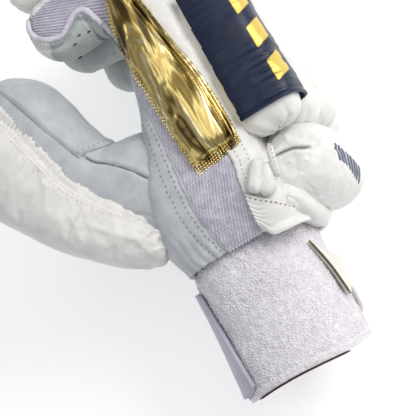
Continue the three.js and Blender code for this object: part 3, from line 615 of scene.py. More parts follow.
def stall_grid(finger, rows=150, around=144):
    end, tip = 1 + finger["reach"], TIP / REACH
    front = HAND_FRONT - FRONT_SLANT * (1 - finger["z"] / HAND_WIDE)
    root = min((front - STALL_TUCK - finger["bend_y"]) / HAND_LONG, -0.02)
    table = {
        "at": [root, 0, 0.5, 1, end + 0.25 * tip, end + 0.66 * tip, end + 0.92 * tip, end + 1.0 * tip],
        "full": [1, 1, 1, 0.98, 0.9, 0.7, 0.38, 0.0],
    }
    parts = ((root, 0, 0.25), (0, 1, 0.4), (1, end + tip, 0.35))
    run = joined([np.linspace(a, b, stretch(rows * share)) for a, b, share in parts])
    full = np.maximum(curve(table, "full", run), 0.015)
    reach, half = STALL_THICK / 2 * full, STALL_WIDE / 2 * full
    return off_floor(ovals(*finger_frame(finger, run), reach, reach, half, 2.6, stretch(around))), run


# %% [markdown]
# The leather folds on the palm side of each joint, and the knit is ribbed across the finger.

# %% Finger stalls
def crease_height(grid, run, seed):
    palmward = ease(0.1, -0.7, np.cos(round_turn(grid.shape[1])))
    height = 0.35 * noise(grid, 9, seed) + 0.16 * folds(grid * np.array([1, 1, 0.45]), 5, seed + 1)
    for place, width, depth in ((0.3, 0.035, 1.3), (0.62, 0.03, 1.0), (0.98, 0.04, 1.1)):
        wander = 0.05 * noise(grid, 14, seed + 2)
        height = height - depth * palmward * bump(place, width, run[:, None] + wander)
        height = height + 0.5 * depth * palmward * bump(place + 0.09, 0.05, run[:, None] + wander)
    return height


def in_outline(points, corners):
    inside = np.zeros(points.shape[:-1], bool)
    x, y = points[..., 0], points[..., 1]
    for (x0, y0), (x1, y1) in zip(corners, np.roll(corners, -1, axis=0)):
        inside ^= ((y0 > y) != (y1 > y)) & (x < (x1 - x0) * (y - y0) / (y1 - y0 + 1e-12) + x0)
    return inside


RIB = 1.45
KNIT_EDGE = [
    (0.72, -0.6), (0.74, 0.2), (0.7, 0.55), (0.55, 0.84), (0.25, 1.02), (-0.1, 1.06), (-0.5, 1.04), (-0.78, 0.98),
    (-0.8, 0.76), (-0.68, 0.58), (-0.53, 0.5), (-0.36, 0.48), (-0.18, 0.58), (-0.03, 0.63), (0.08, 0.58),
    (0.14, 0.42), (0.2, 0.26), (0.24, 0.0), (0.24, -0.6),
]
for name in ("little", "ring", "middle"):
    grid, run = stall_grid(FINGERS[name])
    grid = raised(grid, crease_height(grid, run, 11 + FINGERS[name]["place"]))
    sheet(f"{name}_finger", grid, finger_leather, STALL_WALL, "palm_leather", f"{name}_stall")

index = FINGERS["index"]
bend_middle = np.array([index["x"] - index["bend_radius"], index["bend_y"]])


def on_palm(shares):
    return bend_middle + np.array(shares) * STALL_THICK


knit_corners = on_palm(KNIT_EDGE)


def knit_part(grid):
    return in_outline(grid, knit_corners) & (grid[..., 2] > index["z"] + STALL_WIDE * 0.2)


grid, run = stall_grid(index, 470, 400)
knitted = knit_part(grid)
from_bend = grid[..., :2] - bend_middle
across_rib = from_bend[..., 0] * 0.5 + from_bend[..., 1] * 0.87
fan = 1 + 0.006 * (from_bend[..., 0] * 0.87 - from_bend[..., 1] * 0.5)
rib = np.abs(np.sin(math.pi * (across_rib / fan + 0.35 * noise(grid, 14, 5)) / RIB)) ** 0.8
dip = bend_middle + np.array([-0.08, 0.95]) * STALL_THICK
hollow = bump(0.0, 7, np.linalg.norm(grid[..., :2] - dip, axis=-1))
knit_grid = raised(grid, -0.9 + 0.6 * rib + 0.3 * noise(grid, 8, 6) - 1.6 * hollow)
# Darker colour in the rib grooves and in the hollow near the tip is painted shade.
shade_and_tone = {"shade_and_tone": np.clip(1.5 * (1 - rib) + 0.4 * hollow, 0, 1)}
sheet("index_knit", knit_grid, white_knit, KNIT_WALL, "white_knit", "index_gusset", keep=knitted, values=shade_and_tone)
grid, run = stall_grid(index, 230, 220)
knitted = knit_part(grid)
radial = np.linalg.norm(grid[..., :2] - bend_middle, axis=-1)
radial = np.where(grid[..., 1] < index["bend_y"], np.abs(grid[..., 0] - bend_middle[0]), radial)
backward = ~knitted & (radial > index["bend_radius"] + 2)
edges = (
    smooth_line(knit_corners[7:15] + np.array([-2.4, -3.1]), 60),
    smooth_line(on_palm([(-0.52, 0.1), (-0.3, 0.16), (-0.05, 0.2), (0.16, 0.16)]), 40),
)
flat = grid * np.array([1, 1, 0])
upper = ease(index["z"], index["z"] + 5, grid[..., 2])
folded, puffed = (
    sum(near_line(flat, np.column_stack([line + shift, 0 * line[:, 0]]), width) for line in edges)
    for shift, width in ((0, 0.75), (1.6, 1.3))
)
skin_grid = raised(grid, crease_height(grid, run, 21) + upper * (0.55 * puffed - 1.3 * folded))
below = ~knitted & ~backward
sheet("index_finger", skin_grid, finger_leather, STALL_WALL, "palm_leather", "index_stall", keep=below)
sheet("index_back", skin_grid, white_leather, STALL_WALL, "white_leather", "index_stall", keep=backward)
print("stalls made; the index finger's knit has", int(knitted.sum()), "points")


# %% [markdown]
# A knitted binding follows the edge of the leather, with a row of stitches inside it and four vents.

# %% Bindings and stitches on the index finger
def on_grid_top(xy, lift):
    flat = skin_grid.reshape(-1, 3)
    flat = flat[flat[:, 2] > flat[:, 2].max() - STALL_WIDE / 2 - 1.7]
    found = []
    for x, y in xy:
        near = np.argsort((flat[:, 0] - x) ** 2 + (flat[:, 1] - y) ** 2)[:6]
        found.append([x, y, flat[near, 2].max() + lift])
    return np.array(found)


bound = on_grid_top(smooth_line(knit_corners[7:19], 110), 0.35)
cord_piece("knit_binding", bound, 1.25, "white_knit", white_knit, 0.75, 0.25, ("index_gusset",))
beside = on_grid_top(smooth_line(knit_corners[7:17] + np.array([-1.6, -1.9]), 90), 0.1)
stitched("binding_stitches", [beside[6:-14]], "palm_leather", grey_thread, 2.0, 1.2, 0.35)
vents = on_grid_top(on_palm([(-0.2, 0.36), (-0.33, 0.3), (-0.05, 0.33), (-0.42, 0.18)]), 0.02)
dots = [[p - X * 0.4, p + X * 0.4] for p in vents]
stitched("vent_holes", dots, "palm_leather", dark_gap, 3.0, 1.0, 0.8)
print("knit bound")

# %% [markdown]
# ## The thumb
# A curved line carries the thumb's stall, the smooth patch over its pad and the padded guard on its
# outer side, which is gathered where it is sewn down.

# %% Thumb frames
THUMB_LONG, THUMB_THICK, GUARD_HIGH, GUARD_WIDE, GUARD_OFFSET = 100, 33, 18, 44, 17
THUMB_ROOT = np.array([5, -5, 78])
THUMB_LINE = {
    "at": [0, 0.2, 0.48, 0.68, 0.855, 0.985, 1.15],
    "x": [0, -0.15, -0.33, -0.41, -0.47, -0.53, -0.62],
    "y": [0, 0.13, 0.35, 0.53, 0.695, 0.81, 0.95],
    "z": [0, 0.05, 0.1, 0.14, 0.16, 0.17, 0.17],
}
THUMB_ROWS = {
    "at": [0.04, 0.18, 0.32, 0.4, 0.48, 0.62, 0.76, 0.88, 0.96, 1.01, 1.045, 1.06],
    "full": [1.05, 1.05, 1.0, 0.98, 0.96, 0.98, 1.0, 0.97, 0.82, 0.64, 0.4, 0.0],
    "near": [1.3, 1.5, 1.6, 1.36, 0.98, 0.93, 0.99, 1.0, 0.95, 0.9, 0.85, 0.85],
}
GUARD_ROWS = {
    "at": [0.125, 0.135, 0.15, 0.2, 0.28, 0.4, 0.55, 0.72, 0.86, 0.96, 1.05, 1.12, 1.15, 1.165],
    "full": [0.0, 0.4, 0.52, 0.68, 0.79, 0.88, 1, 1.22, 1.28, 1.2, 1, 0.66, 0.34, 0.0],
    "wide": [0.0, 0.52, 0.7, 0.88, 0.98, 1.04, 1.04, 1.02, 0.97, 0.88, 0.72, 0.48, 0.24, 0.0],
    "offset": [0.96, 0.96, 0.96, 0.98, 1, 1, 1, 1, 1, 0.92, 0.75, 0.6, 0.55, 0.55],
}


THUMB_SEAM = ((0.549, 119), (0.487, 116), (0.426, 110), (0.326, 101), (0.234, 99), (0.165, 98), (0.1, 98))


def thumb_point(at):
    return np.stack([curve(THUMB_LINE, axis, at) for axis in "xyz"], axis=-1) * THUMB_LONG + THUMB_ROOT


def thumb_frame(at):
    ahead = thumb_point(at + 0.03) - thumb_point(at - 0.03)
    out = np.cross(Z, ahead)
    out /= np.linalg.norm(out, axis=-1, keepdims=True)
    side = np.cross(ahead, out)
    return thumb_point(at), out, side / np.linalg.norm(side, axis=-1, keepdims=True)


def on_rings(grid, at, places):
    rows = [int(np.argmin(np.abs(at - share))) for share, _ in places]
    columns = [int(angle / 360 * grid.shape[1]) for _, angle in places]
    return grid[rows, columns]


# %% [markdown]
# The stall is wrinkled and has a sunk seam; the patch is a smooth open sheet laid on its pad.

# %% Thumb stall and patch
at = np.linspace(0.04, 1.06, stretch(200))
reach = THUMB_THICK / 2 * np.maximum(curve(THUMB_ROWS, "full", at), 0.01)
grid = ovals(*thumb_frame(at), reach, reach * curve(THUMB_ROWS, "near", at), reach, 2.2, stretch(180))
wrinkle = 0.5 * noise(grid * np.array([0.5, 1, 1]), 11, 31)
wrinkle = wrinkle + 0.22 * folds(grid * np.array([0.6, 1.2, 1]), 6, 32)
wrinkle = wrinkle * (0.5 + ease(0.5, 0.15, at)[:, None])
strain = bump(-9, 0.9, grid[..., 1] + 0.85 * grid[..., 0])
strain = strain + bump(-18, 0.8, grid[..., 1] + 0.7 * grid[..., 0])
wrinkle = wrinkle - 0.5 * strain * ease(0.5, 0.3, at)[:, None]
joint = smooth_line(on_rings(grid, at, THUMB_SEAM), 60)
wrinkle = wrinkle - 1.3 * near_line(grid, joint, 0.6) + 0.6 * near_line(grid, joint + np.array([0.9, 1.3, 0]), 1.2)
# The thin dark cord sunk in the thumb's seam groove is painted shade.
cord_piece("thumb_seam_shade", joint[2:] - Z * 0.75, 0.34, "palm_leather", seam_shade)
grid = raised(grid, wrinkle)
sheet("thumb_leather", grid, palm_leather, THUMB_WALL, "palm_leather", "thumb_stall", caps=(False, True))

at = np.linspace(0.475, 1.055, stretch(150))
point, out, side = thumb_frame(at)
far = (THUMB_THICK / 2 + 1.65) * np.maximum(curve(THUMB_ROWS, "full", at), 0.02)
near = far * curve(THUMB_ROWS, "near", at)
limit = np.clip((-6.2 - (far - near) / 2) / ((far + near) / 2), -0.96, -0.05)
start = np.arccos(-(np.abs(limit) ** 1.1))[:, None]
share = np.linspace(0, 1, stretch(190))[None]
patch = ovals(point, out, side, far, near, far, 2.2, turn=start + (2 * math.pi - 2 * start) * share)
skew = 0.075 * (1 - ease(0, 0.42, share)) * ((at[-1] - at) / (at[-1] - at[0]))[:, None]
row = (at[:, None] + skew - at[0]) / (at[-1] - at[0]) * (len(at) - 1)
below = np.minimum(row.astype(int), len(at) - 2)
part, each = (row - below)[..., None], np.arange(patch.shape[1])[None]
patch = patch[below, each] * (1 - part) + patch[below + 1, each] * part
edge = np.clip(bump(0, 0.022, share) + bump(1, 0.022, share) + bump(0.475, 0.01, at)[:, None], 0, 1)
patch = raised(patch, 0.3 * noise(patch, 10, 42) + 0.12 * folds(patch, 6, 43) - 1.0 * edge, False, point[:, None])
open_sheet = {"closed": False, "middle": point[:, None]}
sheet("thumb_pad", patch, palm_leather, PATCH_WALL, "palm_leather", "thumb_patch", **open_sheet)
hem_line = patch[int(len(at) * 0.05), int(patch.shape[1] * 0.04) : int(patch.shape[1] * 0.4)] + Z * 0.2
stitched("patch_stitches", [hem_line], "palm_leather", grey_thread, 2.6, 1.0, 0.5)

# %% [markdown]
# The guard is a padded crescent. Its leather is gathered towards two seams, and cloth fills it out.

# %% Thumb guard
parts = ((0.125, 0.2, 30), (0.2, 1.0, 190), (1.0, 1.165, 50))
at = joined([np.linspace(start, stop, stretch(rows)) for start, stop, rows in parts])
point, out, side = thumb_frame(at)
point = point + out * (GUARD_OFFSET * curve(GUARD_ROWS, "offset", at))[:, None]
reach = GUARD_HIGH * np.maximum(curve(GUARD_ROWS, "full", at), 0.01)
wide = GUARD_WIDE / 2 * np.maximum(curve(GUARD_ROWS, "wide", at), 0.01)
guard = ovals(point, out, side, reach, reach, wide, 2.3, stretch(220))
turn = round_turn(guard.shape[1])
seam = np.minimum(np.abs(turn - 0.7 * math.pi), np.abs(turn - 1.3 * math.pi)) / math.pi
along = at[:, None] * THUMB_LONG
phase = along / 2.1 + 1.3 * noise(guard, 8, 51) + 3 * seam
gather = np.sin(2 * math.pi * phase) * bump(0.03, 0.07, seam) * (0.3 + 0.7 * ease(0.45, 0.7, at)[:, None])
corner = bump(0.14, 0.05, at)[:, None] * folds(guard, 4, 52)
height = 0.3 * gather + 0.9 * corner + 0.6 * noise(guard, 18, 53)
height = height + 0.14 * folds(guard * np.array([1, 1, 0.6]), 6, 54) - 1.2 * bump(0, 0.028, seam)
held = (seam < 0.025) | (at[:, None] < 0.13) | (at[:, None] > 1.16)
guard = raised(guard, height + blown_up(guard, held, cap=1.2))
pad("thumb_guard_pad", guard, guard_leather, "white_leather", "thumb_guard")
columns = [int(guard.shape[1] * share) for share in (0.325, 0.345)]
stitch_rows = [guard[stretch(60) : stretch(235), column] + Z * 0.15 for column in columns]
stitched("guard_stitches", stitch_rows, "white_leather", thread, 2.3, 1.5, 0.5)
print("thumb made")

# %% [markdown]
# ## The hand
# One shell goes round the palm and the knuckles. Seams part it into palm leather, a knitted panel on
# the thumb side, and the white back.

# %% Hand sections
HAND_ROWS = {
    "at": [0.0, 0.15, 0.35, 0.55, 0.75, 0.9, 0.98, 1.0],
    "palm": [0.68, 0.74, 0.68, 0.42, 0.19, 0.09, 0.04, -0.02],
    "back": [-0.03, 0.0, 0.0, 0.0, 0.0, 0.0, -0.01, -0.04],
    "low": [0.09, 0.045, 0.0, -0.008, -0.01, -0.01, -0.008, 0.005],
    "high": [0.13, 0.06, 0.005, 0.0, 0.0, 0.0, 0.002, 0.015],
}
SEAM_ROWS = {
    "at": [-0.02, 0.2, 0.36, 0.6, 0.85, 1.1],
    "palm": [0.0, -0.06, -0.02, 0.03, 0.0, 0.0],
    "back": [0.52, 0.62, 0.71, 0.68, 0.54, 0.4],
}
HAND_ROUND = 12.5


def hand_ring(at, grow=0.0):
    palm = PALM - curve(HAND_ROWS, "palm", at) * HAND_THICK - grow
    back = BACK + curve(HAND_ROWS, "back", at) * HAND_THICK + grow
    low = curve(HAND_ROWS, "low", at) * HAND_WIDE - grow
    high = HAND_WIDE * (1 - curve(HAND_ROWS, "high", at)) + grow
    half_out, half_side = (back - palm) / 2, (high - low) / 2
    radius = min(HAND_ROUND + grow, half_out * 0.95)
    corners = []
    for corner, (out, side) in enumerate(((1, 1), (-1, 1), (-1, -1), (1, -1))):
        turn = (corner + np.linspace(0, 1, 14)) * math.pi / 2
        x, z = out * (half_out - radius) + radius * np.cos(turn), side * (half_side - radius) + radius * np.sin(turn)
        corners.append(np.stack([x, z], axis=1))
    flat = resampled(np.column_stack([np.vstack(corners + [corners[0][:1]]), np.zeros(57)]), 0.6)[:, :2]
    z = (low + high) / 2 + flat[:, 1]
    y = WRIST_Y + at * HAND_LONG + FRONT_SLANT * ease(0.3, 1, at) * (z / HAND_WIDE - 1)
    return np.stack([(palm + back) / 2 + flat[:, 0] - arch_at(z), y, z], axis=1)


def cut_ring(ring, x, top):
    flat = (ring[:, 2] > MIDDLE_Z) if top else (ring[:, 2] < MIDDLE_Z)
    gap = np.where(flat, np.abs(ring[:, 0] - x), 1e9)
    return int(np.argmin(gap))


def span(ring, start, stop, count):
    if stop <= start:
        stop += len(ring) - 1
    part = np.take(ring[:-1], np.arange(start, stop + 1), axis=0, mode="wrap")
    return at_lengths(part, np.linspace(0, lengths(part)[-1], count))


stops = np.linspace(0, 1, stretch(150))
palm_rows, knit_rows, back_rows = [], [], []
for at in stops:
    ring = hand_ring(at)
    palm_seam = cut_ring(ring, PALM + curve(SEAM_ROWS, "palm", at) * HAND_THICK, True)
    back_seam = cut_ring(ring, PALM + curve(SEAM_ROWS, "back", at) * HAND_THICK, True)
    little_seam = cut_ring(ring, PALM + 0.2 * HAND_THICK, False)
    knit_rows.append(span(ring, back_seam, palm_seam, stretch(90)))
    palm_rows.append(span(ring, palm_seam, little_seam, stretch(200)))
    back_rows.append(span(ring, little_seam, back_seam, stretch(200)))
palm_grid, knit_grid, back_grid = (off_floor(np.array(rows)) for rows in (palm_rows, knit_rows, back_rows))
hand_middle = np.array([20.0, 15.0, 50.0])
hand_sheet = {"closed": False, "middle": hand_middle}


def front_closed(grid):
    last = grid[-1]
    centre = np.array([24.0, HAND_FRONT - 8, MIDDLE_Z])
    inward = (centre - last) * np.array([1, 0.3, 0.35]) - Y * 4
    return np.concatenate([grid, np.array([last + inward * share for share in (0.12, 0.35)])])


# %% [markdown]
# The three sheets share their seams. The knit's ribs and chevrons come from two waves.

# %% Palm, knitted panel and back
share = np.linspace(0, 1, palm_grid.shape[1])[None]
reach = np.linspace(0, 1, palm_grid.shape[0])[:, None]
pleat_at = (palm_grid[..., 0] * 0.9 + palm_grid[..., 2] * 0.25) / 3.6
pleat = np.sin(2 * math.pi * pleat_at + 2 * noise(palm_grid, 9, 61))
gathered = bump(0.0, 0.16, reach) * bump(0.12, 0.2, share)
height = 0.6 * noise(palm_grid, 14, 62) + 0.3 * folds(palm_grid * np.array([1, 0.5, 1]), 7, 63)
height = height + 0.35 * pleat * gathered - bump(0.0, 0.01, share)
palm_grid = raised(palm_grid, height, False, hand_middle)
leather_panel = (front_closed(palm_grid), palm_leather, HAND_WALL, "palm_leather", "palm")
sheet("palm_leather_panel", *leather_panel, **hand_sheet)

across = np.linspace(0, 1, knit_grid.shape[1])[None]
rise = np.linspace(0, 1, knit_grid.shape[0])[:, None]
rib_at = knit_grid[..., 0] - 0.5 * knit_grid[..., 1] + 0.25 * noise(knit_grid, 12, 71)
rib = np.abs(np.sin(math.pi * rib_at / RIB)) ** 0.7
chevron_at = (knit_grid[..., 1] + 0.9 * np.abs(((rib_at / RIB) % 1) - 0.5) * RIB) / 1.05
chevron = 0.5 + 0.5 * np.sin(2 * math.pi * chevron_at)
border = np.clip(bump(0.0, 0.05, across) + bump(1.0, 0.04, across), 0, 1)
height = (0.4 * rib + 0.22 * chevron) * (1 - border) + 0.3 * noise(knit_grid, 10, 72) - 0.5 * border
knit_grid = raised(knit_grid, height - 0.3, False, hand_middle)
# Darker colour in the rib and chevron grooves is painted shade.
shade_and_tone = {"shade_and_tone": np.clip(0.5 * (1 - rib) + 0.32 * (1 - chevron), 0, 1) * (1 - 0.6 * border)}
sheet("wrist_knit", knit_grid, white_knit, 1.6, "white_knit", "side_gusset", values=shade_and_tone, **hand_sheet)

height = 0.4 * noise(back_grid, 12, 81) + 0.18 * folds(back_grid, 6, 82)
back_grid = raised(back_grid, height, False, hand_middle)
leather_panel = (front_closed(back_grid), white_leather, HAND_WALL, "white_leather", "back_panel")
sheet("back_leather", *leather_panel, **hand_sheet)

long, wide = palm_grid.shape[:2]
every = max(1, round(3 * FINE))
edge = palm_grid[::every, 0] + Z * 0.09
cord_piece("palm_seam", edge, 0.75, "palm_leather", palm_leather, 0.8, 0.2, ("palm",))
edge = back_grid[: int(long * 0.62) : 2, -1] + Z * 0.15
cord_piece("back_seam", edge, 0.9, "white_leather", white_leather, 0.7, 0.1, ("back_panel",))
beside = [palm_grid[: int(long * 0.72), int(wide * s)] + Z * 0.21 for s in (0.018, 0.045)]
stitched("palm_stitches", beside, "palm_leather", grey_thread, 2.4, 1.4, 0.45, 3)
beside = [back_grid[int(long * 0.14) : int(long * 0.6), -int(wide * s) - 1] + Z * 0.21 for s in (0.018, 0.05)]
stitched("back_stitches", beside, "white_leather", grey_thread, 2.0, 1.0, 0.35, 4)
print("hand made")

# %% [markdown]
# ## Rolls, sleeve, bolster and bar
# The rolls are foam under white leather, pinched at their ends. The index finger's roll wears a navy
# sleeve with plain gold shapes, and a gold foil bar runs beside it.

# %% Padded rolls
ROLL_START, UNDER_SLEEVE, SLEEVE_WALL = 6, 1.1, 1.2


def roll_full(at, square=5.0, ends=3.2):
    t = np.abs(2 * np.asarray(at) - 1)
    return np.maximum(1 - t**square, 0) ** (1 / ends)


def roll_places(count):
    return 0.5 - 0.5 * np.cos(np.linspace(0, math.pi, stretch(count)))


def hand_roll_frame(finger, y):
    end = finger["bend_y"] + 4
    fall = finger["fall"] * ROLL_HIGH * ease(6, end, y)
    x = finger["x"] + STALL_THICK / 2 + finger["rise"] * ROLL_HIGH / 2 - 4.5 - fall
    y = np.asarray(y, float)
    point = np.stack([x, y, np.full_like(y, finger["z"])], axis=-1)
    return point, X, Z


def pillow(grid, at, seed, puckers=9, depth=0.8):
    turn = round_turn(grid.shape[1])
    end = bump(0, 0.09, at)[:, None] + bump(1, 0.09, at)[:, None]
    star = np.abs(np.sin(puckers * turn / 2 + 2 * noise(grid, 15, seed)))
    return 0.5 * noise(grid, 13, seed + 1) + 0.14 * folds(grid, 6, seed + 2) - depth * end * (1 - star)


def add_roll(name, frames, far, half, at, power, node, seed):
    full = np.maximum(roll_full(at), 0.01)
    grid = off_floor(ovals(*frames, far * full, far * full, half * full, power, stretch(90)))
    pad(name, raised(grid, pillow(grid, at, seed)), white_leather, "white_leather", node)


for order, (name, finger) in enumerate(FINGERS.items()):
    shrink = UNDER_SLEEVE if name == "index" else 0.0
    at = roll_places(110)
    frames = hand_roll_frame(finger, ROLL_START + (finger["bend_y"] + 4 - ROLL_START) * at)
    high, half = finger["rise"] * ROLL_HIGH / 2 - shrink, ROLL_WIDE / 2 - shrink
    add_roll(f"hand_pad_{name}", frames, high, half, at, 3.0, f"hand_roll_{name}", 100 + order)
    lift_out = STALL_THICK / 2 + FINGER_ROLL_HIGH / 2 - 1.5
    length = finger["turn"] * (finger["bend_radius"] + lift_out)
    begin = 6 / length
    split = begin + (1 - begin) * 0.5
    parts = (
        ("knuckle", begin, split - 1 / length),
        ("finger", split + 1 / length, 1 - 1 / length),
        ("tip", 1 + 1 / REACH, 1 + finger["reach"] + 0.92 * TIP / REACH),
    )
    at, high, half = roll_places(60), FINGER_ROLL_HIGH / 2, ROLL_WIDE / 2
    for part, start, stop in parts:
        frames = finger_frame(finger, start + (stop - start) * at, lift_out)
        add_roll(f"{part}_pad_{name}", frames, high, half, at, 2.8, f"{part}_roll_{name}", 120 + 7 * order)
print("rolls made")

# %% [markdown]
# The sleeve goes round the index finger's roll, and three slanting shapes lie on it.

# %% Navy sleeve
sleeve_start, sleeve_end = 14, index["bend_y"] + 4 - 1.8
grow = SLEEVE_WALL + 0.35 - UNDER_SLEEVE
far, half = ROLL_HIGH / 2 + grow, ROLL_WIDE / 2 + grow
at = np.linspace(0, 1, stretch(200))
frames = hand_roll_frame(index, sleeve_start + (sleeve_end - sleeve_start) * at)
grid = ovals(*frames, far, far, half, 3.0, stretch(200))
hem = bump(0.035, 0.008, at)[:, None]
cross = folds(grid * np.array([0.3, 1, 0.3]), 3.4, 131) * (0.1 + 0.3 * bump(0.28, 0.22, at)[:, None])
cross = cross + 0.45 * noise(grid, 9, 132)
roomy = ease(0.06, 0.0, at)[:, None] * 0.5
sleeve = raised(grid, cross - 0.35 * hem + roomy)
above = sleeve[..., 0] > BACK + 0.6
sheet("navy_sleeve", sleeve, navy_leather, SLEEVE_WALL, "navy_leather", "index_sleeve", keep=above)
hem_row = sleeve[int(len(at) * 0.055)]
visible = hem_row[hem_row[:, 0] > BACK + 2]
gaps = np.linalg.norm(np.diff(visible, axis=0), axis=1)
visible = np.roll(visible, -int(np.argmax(gaps)) - 1, axis=0) if gaps.max() > 8 else visible
outside = visible + (visible - visible.mean(axis=0)) * 0.004
stitched("sleeve_stitches", [outside], "navy_leather", plain("navy thread", "#2c3a63", 0.6), 1.7, 1.1, 0.35)


navy_print = plain("navy print", "#4d5570", 0.6)
gold_print = plain("gold print", "#dcc263", 0.42, Metallic=0.55)
u, v = np.linspace(0, 1, sleeve.shape[1], endpoint=False)[None], np.linspace(0, 1, sleeve.shape[0])[:, None]
spots = np.stack(np.broadcast_arrays(u, v), axis=-1)
for number, low in enumerate((0.17, 0.44, 0.71), start=1):
    outline = np.array([(0.035, low), (0.15, low - 0.06), (0.15, low + 0.1), (0.035, low + 0.16)])
    marked = in_outline(spots, outline)
    sheet(f"gold_mark_{number}", raised(sleeve, 0.28), gold_print, 0.3, "gold_foil", keep=marked)
print("sleeve made")

# %% [markdown]
# The bolster lies across the back, with a curved seam at its near end and a row of plain navy bars.

# %% Bolster and wrist roll
def cross_line(at, long, y, z, rise, arch, lean):
    across = at - 0.5
    x = BACK + rise - arch * (2 * across) ** 2 - lean * at
    point = np.stack([x, np.full_like(at, y), z - across * long], axis=-1)
    return point, X, Y


ENDS = {
    "at": [-0.012, 0, 0.025, 0.08, 0.18, 0.4, 0.65, 0.83, 0.92, 0.975, 1, 1.012],
    "full": [0.0, 0.38, 0.62, 0.87, 0.98, 1.02, 1.02, 0.98, 0.87, 0.62, 0.38, 0.0],
}
BOLSTER_SEAM = ((0.006, 135), (-0.002, 106), (-0.003, 58), (0.004, 22), (0.022, 8))
BOLSTER_LONG, BOLSTER_REACH = 79, 16.5
at = -0.012 + 1.024 * roll_places(230)
reach = BOLSTER_REACH * np.maximum(curve(ENDS, "full", at), 0.008)
line = cross_line(at, BOLSTER_LONG, -7, 45.5, 8.6, 2, 3)
grid = ovals(*line, reach, reach, reach, 2.1, stretch(260))
seam_line = smooth_line(on_rings(grid, at, BOLSTER_SEAM), 40)
height = 0.35 * noise(grid, 18, 141) + 0.1 * folds(grid, 8, 142)
height = height - 1.5 * near_line(grid, seam_line, 0.7) + 0.6 * near_line(grid, seam_line - Y * 1.9, 1.2)
held = near_line(grid, seam_line, 1.5) > 0.4
held |= (at[:, None] < -0.004) | (at[:, None] > 1.004)
bolster_piece = raised(grid, height + blown_up(grid, held, cap=0.9))
pad("bolster_pad", bolster_piece, white_leather, "white_leather", "bolster", 0.9)
# The thin dark cord sunk in the bolster's seam groove is painted shade.
cord_piece("bolster_seam_shade", seam_line[3:] - Z * 0.9, 0.32, "white_leather", seam_shade)
share, turn = np.broadcast_arrays(at[:, None], 360 * np.arange(grid.shape[1])[None] / grid.shape[1])
low_turn, long_share = 360 - 26 * ease(0.15, 0.7, share) - 25, (share - 0.17) / 0.5
across_mark = (turn - low_turn) / 25
bars = (np.abs(across_mark - 0.5) < 0.5) & (np.abs(long_share - 0.5) < 0.5) & ((long_share * 8) % 1 < 0.62)
sheet("bolster_marks", raised(bolster_piece, 0.12), navy_print, 0.2, "white_leather", keep=bars)

at = roll_places(140)
full = np.maximum(roll_full(at, 6, 3), 0.01)
point = cross_line(at, 64, -18.5, 55, -1, 0, 8)[0]
tilt = math.radians(54)
out, side = (math.cos(tilt), -math.sin(tilt), 0), (math.sin(tilt), math.cos(tilt), 0)
grid = ovals(point, out, side, 11.5 * full, 11.5 * full, 6.5 * full, 2.2, stretch(110))
pad("wrist_pad", raised(grid, pillow(grid, at, 151, 4, 0.4)), white_leather, "white_leather", "wrist_roll", 0.7)
print("bolster and wrist roll made")

# %% [markdown]
# The foil bar narrows towards the fingers. Its edge is beaded and its other side has piping.

# %% Side bar
BAR_ROWS = {
    "at": [-0.008, 0.0, 0.03, 0.12, 0.35, 0.6, 0.8, 0.95, 1.0, 1.01],
    "left": [0.26, 0.25, 0.24, 0.22, 0.16, 0.14, 0.2, 0.32, 0.38, 0.42],
    "right": [0.86, 0.87, 0.88, 0.88, 0.84, 0.71, 0.62, 0.56, 0.5, 0.46],
    "full": [0.12, 0.6, 0.88, 1.0, 1.0, 0.96, 0.85, 0.62, 0.35, 0.03],
}
at = -0.008 + 1.018 * roll_places(260)
left, right = (PALM + curve(BAR_ROWS, key, at) * HAND_THICK for key in ("left", "right"))
point = np.stack([(left + right) / 2, 8.5 + at * 87.5, np.full_like(at, HAND_WIDE - 1.5)], axis=-1)
high = 9 * np.maximum(curve(BAR_ROWS, "full", at), 0.02)
bar = ovals(point, X, Z, (right - left) / 2, (right - left) / 2, high, 2.5, stretch(220))
turn = round_turn(bar.shape[1])
low_edge = ease(0.15, -0.35, np.sin(turn))
palmward = ease(0.2, -0.8, np.cos(turn))
gather = np.sin(2 * math.pi * (bar[..., 1] / 2.2 + noise(bar, 5, 162))) * low_edge
length_fold = bump(0.55, 0.1, np.cos(turn) + 0.25 * noise(bar, 20, 163))
length_fold = length_fold - bump(-0.25, 0.12, np.cos(turn) + 0.3 * noise(bar, 18, 164))
height = 0.5 * gather + 0.35 * length_fold + 0.5 * noise(bar, 9, 165) * (0.4 + palmward)
bar = raised(bar, height + 0.25 * palmward * folds(bar, 4, 166))
bar[..., 1] += 0.12 * (bar[..., 0] - point[:, None, 0]) * (1 - ease(0, 0.2, at))[:, None]
pad("gold_bar", bar, gold_foil, "gold_foil", "side_bar", 0.7)
level = HAND_WIDE + 2.2
edge = np.column_stack([left - 0.4, point[:, 1], np.full_like(at, level)])[stretch(8) : -stretch(30)]
edge = edge + 0.5 * noise(edge, 4, 167)[:, None] * X
edges = [edge, edge + np.array([0.9, 0.9, 0.5])]
stitched("bar_beads_left", edges, "gold_foil", gold_foil, 1.6, 1.6, 1.8, 5)
near, far = left[stretch(10)], right[stretch(10)]
corners = [(near - 0.8, 5.6, level - 2.4), ((near + far) / 2, 6.9, level - 1.2), (far + 0.6, 9.2, level - 2.0)]
frill = [smooth_line(corners, 20) + np.array([0.15, 1.0, 0.5]) * k for k in (-1.6, -0.6, 0.4, 1.4)]
stitched("bar_beads_end", frill, "gold_foil", gold_foil, 1.25, 1.5, 1.5, 6)
piping = np.column_stack([right - 0.6, point[:, 1], np.full_like(at, level + 1.8)])[stretch(14) : -stretch(40)]
for name, shift, radius in (("bar_piping", (0, 0, 0), 0.6), ("bar_welt", (1.2, 0, -0.9), 0.55)):
    cord_piece(name, piping + np.array(shift), radius, "gold_foil", gold_foil, 1.0, 0.1)
print("bar made")

# %% [markdown]
# ## The wrist
# A towelling band closes the wrist, with a hem at its cuff and a coated strap round it. Two puffs and
# a gathered flap cover where it joins the back.

